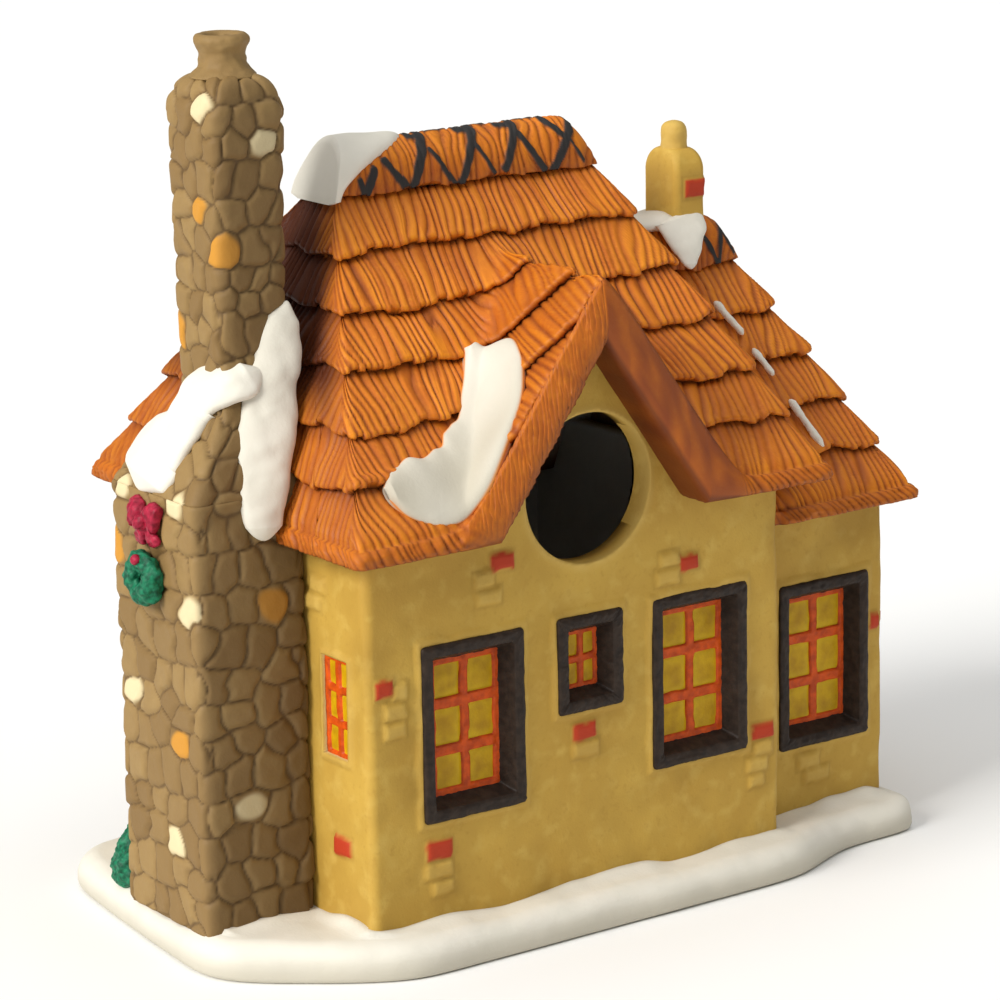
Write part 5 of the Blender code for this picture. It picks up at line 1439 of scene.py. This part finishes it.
def snow_sheet(name, roof, edge_a, edge_b, rows, thick, nodes, seed):
    """Snow on a roof between two edge lines in plan. Its face rises over the thatch by a rounded
    height, the square root of one less the cube of how far a place is from the middle, its edges
    waver, and its underside is sunk into the straw."""
    a, b = through(edge_a, rows), through(edge_b, rows)
    share = np.concatenate([np.linspace(0, 1, 40), np.linspace(1, 0, 10)[1:-1]])
    over = np.arange(len(share)) < 40
    along = np.linspace(0, 1, rows)[:, None]
    bent = 0.5 - 0.5 * np.cos(math.pi * share)[None]
    wobble = 0.05 * ripple(seed, along * 14, 0 * along)
    mix = bent * (1 + wobble)
    x = a[:, None, 0] * (1 - mix) + b[:, None, 0] * mix
    y = a[:, None, 1] * (1 - mix) + b[:, None, 1] * mix

    def surface(px, py):
        return roof.top(px, py, roof.half + py)[0]

    z = surface(x, y)
    slope_x = (surface(x + 0.4, y) - surface(x - 0.4, y)) / 0.8
    slope_y = (surface(x, y + 0.4) - surface(x, y - 0.4)) / 0.8
    out = unit(np.stack([-slope_x, -slope_y, np.ones_like(z)], -1))
    swell = np.sqrt(np.clip(1 - np.abs(2 * bent - 1) ** 3, 0, 1))
    pinch = rounded_ends(along, 9)
    points = np.stack([x, y, z], -1)
    lift = swell * thick * pinch * (1 + 0.3 * ripple(seed + 1, x / 6, y / 6)) - 0.6
    lift = np.where(over[None], lift, -2.4 * swell * pinch - 0.6)
    # Painted grey shade over the sheet, darker toward the eave and in soft patches
    painted_shade = 0.45 + 0.3 * smooth_step(-35, -43, y) + 0.25 * ripple(seed + 3, x / 7, y / 7)
    paint = {"stain_and_shade": painted_shade, "wash": smooth_step(0.35, 0.05, swell) + 0 * z}
    return tube(name, points + out * lift[..., None], *SNOW, nodes, paint)


# The sheet's two edges from its tail to its top, in plan, with x counted from the walls' left corner
WALLS_START = -54.6
EDGE_A = [
    (33.6, -27.0), (35.6, -27.3), (38.8, -32.0), (37.6, -37.2), (35.3, -41.3), (32.1, -44.6),
    (26.9, -47.0), (22.6, -48.2), (19.0, -47.6), (15.9, -47.2), (11.6, -46.6), (6.9, -44.9), (4.6, -42.6),
]
EDGE_B = [
    (32.6, -26.9), (31.6, -28.4), (28.9, -31.2), (27.0, -33.2), (25.6, -34.4), (23.6, -35.6),
    (21.3, -36.6), (19.0, -37.4), (16.7, -38.0), (13.0, -38.5), (9.4, -39.0), (6.4, -39.8), (4.3, -41.2),
]
edges = [[(x + WALLS_START, y, 0) for x, y in edge] for edge in (EDGE_A, EDGE_B)]
snow_sheet("snow_beside_gable", MAIN_ROOF, *edges, 220, 1.9, ["gable_snow"], 430)


# Snow base


BASE_CORNERS = [
    (-81.8, -23.0), (-76.6, -30.0), (-62.5, -41.2), (-51.0, -48.6), (43.4, -48.4), (59.4, -40.5),
    (82.1, -40.5), (82.1, 40.5), (59.4, 40.5), (43.4, 48.4), (-51.0, 48.4), (-75.0, 40.1), (-78.6, 12.3),
]
# Points round the outline, the top's height, its edge's radius, and the rise against the walls
BASE_PATH = 620
BASE_TOP = 7.5
BASE_ROUND = 4.2
WALL_RISE = 1.3
# The ends of the middle line that the top's rings are drawn to
MIDDLE_LINE = (-40, 45)
# What the snow is piled against: left, right, near and far side of the main walls, the wing's, the
# chimney and the door's step
STANDING = [(-54.6, 43.4, -40, 40), (43.4, 77.4, -32, 32), (-78.9, -54.6, -21.05, 9.45), (-13.8, 2.6, 40, 46)]


def base_path():
    """The base's outline: straight stretches between its corners, cut evenly and then evened by a
    Gaussian weight along the path, which rounds the corners."""
    corners = np.array(BASE_CORNERS + BASE_CORNERS[:1])
    length = walked(np.linalg.norm(np.diff(corners, axis=0), axis=1))
    places = np.arange(BASE_PATH) / BASE_PATH * length[-1]
    path = np.stack([np.interp(places, length, corners[:, k]) for k in (0, 1)], -1)
    reach = np.arange(-22, 23)
    weight = np.exp(-((reach / 9.3) ** 2))
    weight /= weight.sum()
    return sum(w * np.roll(path, k, 0) for k, w in zip(reach, weight))


def off_walls(x, y):
    """Distance in plan from a place to the nearest of the walls and the chimney."""
    away = np.full(x.shape, 99.0)
    for x0, x1, y0, y1 in STANDING:
        dx = np.maximum(np.maximum(x0 - x, x - x1), 0)
        dy = np.maximum(np.maximum(y0 - y, y - y1), 0)
        away = np.minimum(away, np.hypot(dx, dy))
    return away


def make_base():
    """Snow piled round the foot: rings start under the slab, round its edge as a quarter circle and
    run in over the top, each point drawn toward the house's long middle line."""
    path = base_path()
    ahead = np.roll(path, -1, 0) - np.roll(path, 1, 0)
    side = unit(np.stack([ahead[:, 1], -ahead[:, 0]], -1))
    rings = [(1.3, 0.0, 0.0), (0.5, 0.45, 0.0), (0.1, 1.3, 0.0), (0.0, 2.3, 0.0)]
    for angle in np.linspace(0, math.pi / 2, 14)[1:]:
        height = BASE_TOP - BASE_ROUND + BASE_ROUND * math.sin(angle)
        rings.append((BASE_ROUND * (1 - math.cos(angle)), height, 0.0))
    rings += [(BASE_ROUND, BASE_TOP, 0.86 * share) for share in np.linspace(0, 1, 60)[1:]]
    inset, height, drawn = [np.array(column)[:, None] for column in zip(*rings)]
    core = np.stack([np.clip(path[:, 0], *MIDDLE_LINE), 0 * path[:, 1]], -1)
    flat = path[None] - side[None] * inset[..., None]
    flat = flat * (1 - drawn[..., None]) + core[None] * drawn[..., None]
    x, y = flat[..., 0], flat[..., 1]
    z = height + 0 * x
    round_edge = np.clip(z / 3, 0, 1)
    points = np.stack([x, y, z], -1)
    out = np.stack([side[:, 0], side[:, 1], 0 * side[:, 0]], -1)[None]
    out = out * (1 - (z[..., None] / BASE_TOP) ** 6)
    wave = lumps(500, points, 12) * 0.9 + lumps(503, points, 4) * 0.35
    points = points + out * (wave * round_edge)[..., None]
    rise = WALL_RISE * np.exp(-((off_walls(x, y) / 2.4) ** 2)) * (drawn > 0)
    top = (lumps(506, points, 14) + lumps(509, points, 5) * 0.4 - 0.25) * (z / BASE_TOP) ** 4
    points[..., 2] = points[..., 2] + top + rise * (0.7 + 0.6 * ripple(512, x / 8, y / 8))
    # Painted shade: greyer against the walls, the chimney and the step, and low on the base's side
    stain_and_shade = smooth_step(1.0, 0.0, off_walls(x, y)) * (drawn > 0) * 0.5 + smooth_step(6.5, 1.5, z) * 0.7
    return tube("snow_ground", points, *SNOW, ["snow_base"], {"stain_and_shade": stain_and_shade, "wash": 0.0})


make_base()


# Windows


# The frame's section: how far in from its outer edge, and how deep behind the wall's face
FRAME_SECTION = [
    (0.1, 1.0), (0.0, -0.5), (0.2, -0.95), (0.6, -1.15), (1.2, -1.2), (1.9, -1.15), (2.35, -0.95),
    (2.55, -0.55), (3.1, 0.7), (3.7, 2.0), (3.95, 2.5), (3.95, 2.8), (0.1, 2.8),
]
FRAME_WIDE, FRAME_CORNER, FRAME_STEPS = 3.5, 0.9, 280


def window_frame(window, wall, facing, seed):
    """A window's brown frame: its section carried round an oblong, with softly worn, uneven edges.
    Facing is -1 on the back walls and 1 on the front ones."""
    low, high = span(window + "_frame")
    centre = (low + high) / 2
    half_x, half_z = (high[0] - low[0]) / 2, (high[2] - low[2]) / 2
    rows = through(FRAME_SECTION, 38)
    turns, _ = even_turns(-half_x, half_x, half_z, FRAME_CORNER, FRAME_STEPS)
    inset, depth = rows[:, :1], rows[:, 1:]
    turn = np.broadcast_to(turns, (len(rows), FRAME_STEPS))
    radius = np.maximum(FRAME_CORNER - inset * 0.15, 0.3)
    x, z = rim(turn, inset - half_x, half_x - inset, half_z - inset, radius)
    wear = 0.16 * ripple(seed, turn * 9, inset) + 0.1 * ripple(seed + 1, turn * 30, inset * 2)
    y = wall - facing * (depth - wear * 0.8)
    grow = 1 + wear * 0.012
    points = np.stack([centre[0] + x * grow, y, centre[2] + z * grow], -1)
    nodes = [window + "_frame"]
    return tube(window + "_frame_relief", points, "window_brown", FRAME_PAINT, nodes, {}, True)


PANES_ACROSS = 2
GLAZING_STEP = 0.27


def bars(across, up, half_x, half_z, rows, bar_x, bar_z, edge, seed):
    """How much a place lies on a lattice's bars, 1 in their middle and 0 off them: the largest of
    rounded strips, at even places across and up and round the edge."""
    waver_x = 0.16 * ripple(seed, up / 4, across * 0)
    waver_z = 0.16 * ripple(seed + 1, across / 4, up * 0)
    best = np.zeros_like(across)
    for k in range(1, PANES_ACROSS):
        place = -half_x + 2 * half_x * k / PANES_ACROSS
        best = np.maximum(best, 1 - ((across - place + waver_x) / (bar_x / 2)) ** 4)
    for k in range(1, rows):
        place = -half_z + 2 * half_z * k / rows
        best = np.maximum(best, 1 - ((up - place + waver_z) / (bar_z / 2)) ** 4)
    border = np.minimum(half_x - np.abs(across), half_z - np.abs(up)) + waver_x
    best = np.maximum(best, smooth_step(edge + 0.4, edge - 0.4, border))
    return np.clip(best, 0, 1)


def glazing(name, margin, rows, facing, seed, axis=0):
    """A painted window's lattice and panes, cast as one relief: the lattice is a sheet that stands
    proud on its bars and dips behind the panes between them, and each pane is a little cushioned.
    Axis is 0 for a wall along x and 1 for one along y."""
    lattice, panes = name + "_lattice", name + "_panes"
    low, high = span(lattice)
    pane_low, pane_high = span(panes)
    centre = (low + high) / 2
    half_x, half_z = (high[axis] - low[axis]) / 2 - margin, (high[2] - low[2]) / 2 - margin
    across, up = np.meshgrid(
        np.linspace(-half_x, half_x, int(half_x * 2 / GLAZING_STEP)),
        np.linspace(-half_z, half_z, int(half_z * 2 / GLAZING_STEP)),
    )
    deep = 1 - axis
    plane = (low if facing < 0 else high)[deep]
    back = (pane_high if facing < 0 else pane_low)[deep]
    bar_x, bar_z, edge = (2.1, 2.5, 1.5) if half_x > 5 else (1.5, 1.8, 1.1)
    on = bars(across, up, half_x, half_z, rows, bar_x, bar_z, edge, seed)
    rough = 0.08 * ripple(seed + 3, across / 0.9, up / 0.9)
    height = -1.1 + 1.5 * smooth_step(0.0, 0.55, on) + rough
    share_x = np.abs(np.mod((across + half_x) / (2 * half_x) * PANES_ACROSS, 1) * 2 - 1)
    share_z = np.abs(np.mod((up + half_z) / (2 * half_z) * rows, 1) * 2 - 1)
    cushion = -0.35 + 0.35 * (1 - share_x**4) * (1 - share_z**4)
    cushion = cushion + 0.06 * ripple(seed + 5, across / 1.6, up / 1.6)
    for piece, field, slot, material, node in (
        (name + "_lattice_relief", height, "lattice_red", LATTICE_PAINT, lattice),
        (name + "_pane_relief", cushion, "pane_yellow", PANE_PAINT, panes),
    ):
        behind = back if node is panes else plane - facing * 1.5
        grids = []
        for distance in (plane + facing * field, behind + 0 * field):
            spots = [None, None, up + centre[2]]
            spots[axis] = across + centre[axis]
            spots[deep] = distance
            grids.append(np.stack(spots, -1))
        rim_of_pane = np.clip(share_x**4 + share_z**4, 0, 1) if node is panes else 0 * field
        shell(piece, *grids, None, slot, material, [node], {"edge": rim_of_pane})


# How far the main walls' and the wing's faces are from the house's long middle line
MAIN_FACE, WING_FACE = 40.0, 32.0
# Each window's wall, the side that it faces, and its panes up
WINDOWS = [
    ("left_window", MAIN_FACE, -1, 3), ("small_window", MAIN_FACE, -1, 2),
    ("right_window", MAIN_FACE, -1, 3), ("wing_window", WING_FACE, -1, 3),
    ("front_left_window", MAIN_FACE, 1, 3), ("front_right_window", MAIN_FACE, 1, 3),
    ("front_wing_window", WING_FACE, 1, 3),
]
for index, (window, face, facing, rows) in enumerate(WINDOWS):
    window_frame(window, facing * face, facing, 600 + 7 * index)
    glazing(window, FRAME_WIDE, rows, facing, 603 + 7 * index)
glazing("end_window", 0.1, 3, -1, 690, 1)


# Small chimney, wreath, bow and shrub


# Where the small chimney starts to draw in, and half its depth
SMALL_HEAD, SMALL_HALF = 136.4, 5.5
small_low, small_high = span("small_chimney")


def small_stack():
    """The wing's small rendered chimney: an upright oblong with soft corners, drawn in at its top
    like a loaf, with one red brick standing out of its near side."""
    levels = [(z, 0.0) for z in lines(small_low[2] - 3.0, SMALL_HEAD, 0.4)]
    for angle in np.linspace(0, 1, 22)[1:] * math.pi / 2:
        levels.append((SMALL_HEAD + 4.6 * math.sin(angle), 1 - math.cos(angle)))
    z, inset = [np.array(column)[:, None] for column in zip(*levels)]
    turns, _ = even_turns(small_low[0], small_high[0], SMALL_HALF, 1.2, 200)
    left, right = small_low[0] + 1.2 * inset, small_high[0] - 1.2 * inset
    x, y = rim(turns[None], left, right, SMALL_HALF - 2.9 * inset, 1.3 + 1.1 * inset)
    points = np.stack([x, y, z + 0 * x], -1)
    out = normals(points, True)
    out *= np.sign(np.sum(out[..., 1] * y))
    height, red, _, stain_and_shade = brick_relief(x, z + 0 * x, [(49.7, 133.2, 4.8, 3.3, "red")], 520)
    near = y < -4
    height = height * near * 0.7 + 0.3 * lumps(523, points, 4)
    paint = {"stain_and_shade": stain_and_shade * near, "pale": 0 * x, "red": red * near}
    points = points + out * height[..., None]
    return tube("small_chimney_render", points, "bisque_cream", WALL_STAIN, ["small_chimney"], paint)


small_stack()
# The small chimney's pot: radius and height
knob = [
    (2.3, 139.9), (2.85, 140.4), (2.7, 141.2), (2.62, 142.2), (2.66, 143.4), (2.62, 144.4), (2.35, 145.3),
    (1.8, 145.95), (0.9, 146.3), (0.05, 146.4),
]
turned(
    "small_chimney_knob", (48.8, 0.0), through(knob, 50), 80, ("bisque_cream", WALL_STAIN),
    ["small_chimney_pot"], 530, 0.2, 2.4, False, {"stain_and_shade": 0.0, "pale": 0.3, "red": 0.0},
)
# Snow on the wing's ridge beside the small chimney, running down the thatch in a point on each
# side: x, y and z, half the width, and the height
POINT = [
    (45.4, 4.9, 128.0, 5.6, 0.9), (45.6, 5.8, 126.4, 6.2, 1.1), (45.2, 7.4, 124.0, 4.8, 1.1),
    (44.8, 9.2, 121.2, 3.2, 1.0), (44.5, 10.2, 119.6, 2.0, 0.8), (44.4, 11.1, 118.0, 1.2, 0.6),
]
for side, turn in (("near", -1), ("far", 1)):
    placed = [(x, y * turn, z, wide, high, 0, 0.8 * turn, 0.6) for x, y, z, wide, high in POINT]
    title = "snow_at_small_chimney_" + side
    roll(title, placed, SNOW, ["small_chimney_snow"], 540, 0.5, 4.0, 110, 40, 0.8, PLAIN_UNSHADED_SNOW)
# The same along the ridge, where y is 0
RIDGE_PATCH = [
    (31.5, 126.2, 1.6, 0.8), (34.5, 126.2, 4.4, 1.5), (39.5, 126.2, 5.4, 1.9), (43.5, 126.3, 5.6, 2.0),
    (47.5, 126.3, 4.0, 1.6),
]
placed = [(x, 0, z, wide, high, 0, 0, 1) for x, z, wide, high in RIDGE_PATCH]
roll("snow_on_wing_ridge", placed, SNOW, ["small_chimney_snow"], 545, 0.5, 4.0, 90, 44, 0.8, PLAIN_UNSHADED_SNOW)
# Thin lines of snow caught behind the main roof's hip, on the wing's thatch
VALLEY_LINES = [
    [(49.6, -11.8, 110.9), (50.6, -13.3, 108.8), (51.8, -14.8, 106.8), (53.2, -16.6, 104.3)],
    [(54.0, -18.5, 101.7), (54.9, -20.0, 99.6), (55.6, -21.2, 98.0), (56.4, -22.3, 96.4)],
    [(57.7, -25.6, 91.9), (58.6, -27.6, 89.2), (59.7, -29.8, 86.2), (61.0, -32.4, 82.6)],
]
for index, line in enumerate(VALLEY_LINES):
    placed = [(x, y, z, 0.7, 0.8, 0, -0.8, 0.6) for x, y, z in line]
    title = "snow_line_behind_hip_%d" % (index + 1)
    roll(title, placed, SNOW, [], 548 + index, 0.3, 2.0, 60, 24, 0.8, PLAIN_UNSHADED_SNOW)


def make_wreath():
    """A wreath of rough clay hung on the chimney: a thick ring, taller than wide, whose skin is
    torn into leafy lumps by two sizes of noise."""
    low, high = span("chimney_wreath")
    centre = (low + high) / 2
    around = np.arange(150)[:, None] / 150 * TAU
    about = np.arange(48)[None] / 48 * TAU
    away = 2.7 + 0.2 * np.cos(2 * around) + 2.0 * np.cos(about)
    x = high[0] - 2.0 - 1.9 * np.sin(about) + 0 * around
    y = centre[1] + away * np.cos(around)
    z = centre[2] + away * np.sin(around) * 1.12
    points = np.stack([x, y, z], -1)
    away_y, away_z = np.cos(about) * np.cos(around), np.cos(about) * np.sin(around)
    out = np.stack([-np.sin(about) + 0 * around, away_y, away_z], -1)
    torn = lumps(550, points, 1.5) * 0.9 + np.abs(lumps(553, points, 0.8)) * 0.7
    points = points + out * torn[..., None]
    return tube("wreath_leaves", points, "wreath_green", GREEN_PAINT, ["chimney_wreath"], {}, True)


make_wreath()
# The bow's loops, tails and knot: x, y and z from its middle, half the width, and the height
BOW_ROLLS = {
    "bow_left_loop": [
        (0.2, 0.0, 0.0, 0.9, 1.0), (0, 1.6, 0.9, 1.7, 1.6), (0, 3.4, 1.5, 2.3, 1.9),
        (0.3, 5.0, 1.2, 1.6, 1.0),
    ],
    "bow_right_loop": [
        (0.2, 0.0, 0.0, 0.9, 1.0), (0, -1.6, 0.7, 1.7, 1.6), (0, -3.4, 1.1, 2.3, 1.9),
        (0.3, -5.0, 0.8, 1.6, 1.0),
    ],
    "bow_left_tail": [
        (0.2, 0.2, -0.3, 0.8, 0.8), (0, 1.4, -1.9, 1.2, 1.0), (0.2, 2.5, -3.4, 1.4, 0.9),
        (0.4, 3.2, -4.6, 1.0, 0.6),
    ],
    "bow_right_tail": [
        (0.2, -0.2, -0.3, 0.8, 0.8), (0, -1.2, -1.9, 1.2, 1.0), (0.2, -2.0, -3.5, 1.4, 0.9),
        (0.4, -2.4, -4.8, 1.0, 0.6),
    ],
    "bow_knot": [
        (-0.5, 0.0, 1.3, 0.9, 0.9), (-1.0, 0, 0.6, 1.2, 1.2), (-1.0, 0, -0.4, 1.2, 1.2),
        (-0.5, 0.0, -1.1, 0.9, 0.9),
    ],
}
bow_low, bow_high = span("chimney_bow")
bow_x, bow_z = bow_high[0] - 0.9, (bow_low[2] + bow_high[2]) / 2 + 0.8
bow_y = (bow_low[1] + bow_high[1]) / 2
for index, (title, stations) in enumerate(BOW_ROLLS.items()):
    placed = []
    for x, y, z, wide, high in stations:
        placed.append((bow_x + x, bow_y + y * 0.9, bow_z + z, wide * 1.3, high, -1, 0, 0.1))
    roll(title, placed, ("bow_red", BOW_PAINT), ["chimney_bow"], 560 + 5 * index, 0.6, 1.3, 60, 32, 0.8)
# The berry's radius
BERRY = 1.05
berry_low, berry_high = span("wreath_berry")
berry_at = (berry_low + berry_high) / 2
berry = []
for angle in np.linspace(0.03, math.pi - 0.03, 24):
    berry.append((max(math.sin(angle), 0.02) * BERRY, berry_at[2] - math.cos(angle) * BERRY))
turned(
    "wreath_red_berry", berry_at[:2] + [1.2, 0], berry, 40, ("bow_red", BOW_PAINT), ["wreath_berry"],
    590, 0.15, 0.9,
)
# The shrub's radius and its height over its foot
SHRUB = [
    (4.0, -0.8), (5.2, 0.4), (5.6, 2.6), (5.2, 4.8), (4.2, 7.2), (3.0, 9.6), (1.7, 11.8), (0.7, 13.0),
    (0.05, 13.5),
]
shrub_low, shrub_high = span("chimney_shrub")
shrub_profile = through([(radius, shrub_low[2] + height) for radius, height in SHRUB], 110)
shrub_middle = (shrub_low + shrub_high) / 2
turned(
    "shrub_leaves", shrub_middle[:2] + [-1.6, 0.8], shrub_profile, 130, ("wreath_green", GREEN_PAINT),
    ["chimney_shrub"], 595, 1.1, 1.8,
)


# Front door


def door_leaf():
    """The front door's leaf: upright boards with round edges and sunken joints, and two battens."""
    low, high = span("front_door")
    across, up = np.meshgrid(np.linspace(low[0], high[0], 96), np.linspace(low[2], high[2], 140))
    board = np.abs(np.mod((across - low[0]) / 3.28, 1) * 2 - 1)
    height = -0.45 * np.clip((board - 0.82) / 0.18, 0, 1) ** 2 + 0.08 * ripple(700, across / 0.5, up / 7)
    for middle in (low[2] + 8, high[2] - 8):
        height = np.maximum(height, 0.55 * smooth_step(1.9, 1.4, np.abs(up - middle)))
    front = np.stack([across, high[1] + height, up], -1)
    behind = np.stack([across, low[1] + 0 * height, up], -1)
    shell("door_boards", front, behind, None, "door_brown", DOOR_PAINT, ["front_door"], {})


door_leaf()
# The knob's y and radius, from its neck outward
KNOB = [(38.4, 0.5), (39.4, 0.9), (40.2, 0.8), (40.6, 0.3)]
placed = [(-11.2, y, 29.0, radius, radius, 0, 0, 1) for y, radius in KNOB]
roll("door_knob", placed, ("window_brown", FRAME_PAINT), [], 710, 0.05, 1.0, 40, 32, 1.0)


def arch_frame():
    """The door's frame, open at its foot: a section of inset and depth carried up one side, over the
    head and down the other."""
    low, high = span("front_door_frame")
    half, middle = (high[0] - low[0]) / 2, (high[0] + low[0]) / 2
    section = [(0.1, 3.4), (0.0, 0.5), (0.3, -0.9), (0.8, -1.2), (1.8, -1.2), (2.5, -1.0), (2.9, -0.5)]
    section.append((2.95, 3.4))
    inset, depth = through(section, 34).T
    corner, head, foot = 1.6, high[2], low[2] - 0.6
    quarter = np.linspace(math.pi, math.pi / 2, 10)[1:]
    up = [(-half, foot + s) for s in lines(0, head - low[2] - corner, 0.5)]
    path = list(up)
    for a in quarter:
        path.append((-half + corner + corner * math.cos(a), head - corner + corner * math.sin(a)))
    path += [(s, head) for s in lines(-half + corner, half - corner, 0.5)[1:]]
    for a in np.linspace(math.pi / 2, 0, 10)[1:]:
        path.append((half - corner + corner * math.cos(a), head - corner + corner * math.sin(a)))
    path = np.array(path + [(half, z) for _, z in up[::-1]])
    pull_x = np.clip(path[:, :1], -half, half)
    x = np.sign(pull_x) * np.minimum(np.abs(pull_x), half - inset[None])
    z = np.minimum(path[:, 1:], head - inset[None])
    wear = 0.18 * ripple(720, path[:, 1:] / 4 + pull_x, inset[None] * 2)
    y = MAIN_FACE - depth[None] + wear
    points = np.stack([middle + x, y + 0 * x, z + 0 * x], -1)
    return tube("door_frame_relief", points, "window_brown", FRAME_PAINT, ["front_door_frame"])


arch_frame()


# Floor


floor_mesh = bpy.data.meshes.new("floor")
floor_mesh.from_pydata([(-6, -6, 0), (6, -6, 0), (6, 6, 0), (-6, 6, 0)], [], [(0, 1, 2, 3)])
floor = bpy.data.objects.new("floor", floor_mesh)
bpy.context.scene.collection.objects.link(floor)
paper = bpy.data.materials.new("pale_paper")
paper.use_nodes = True
paper_shader = paper.node_tree.nodes["Principled BSDF"]
paper_shader.inputs["Base Color"].default_value = linear("#F6F6F4")
paper_shader.inputs["Roughness"].default_value = 0.9
floor_mesh.materials.append(paper)
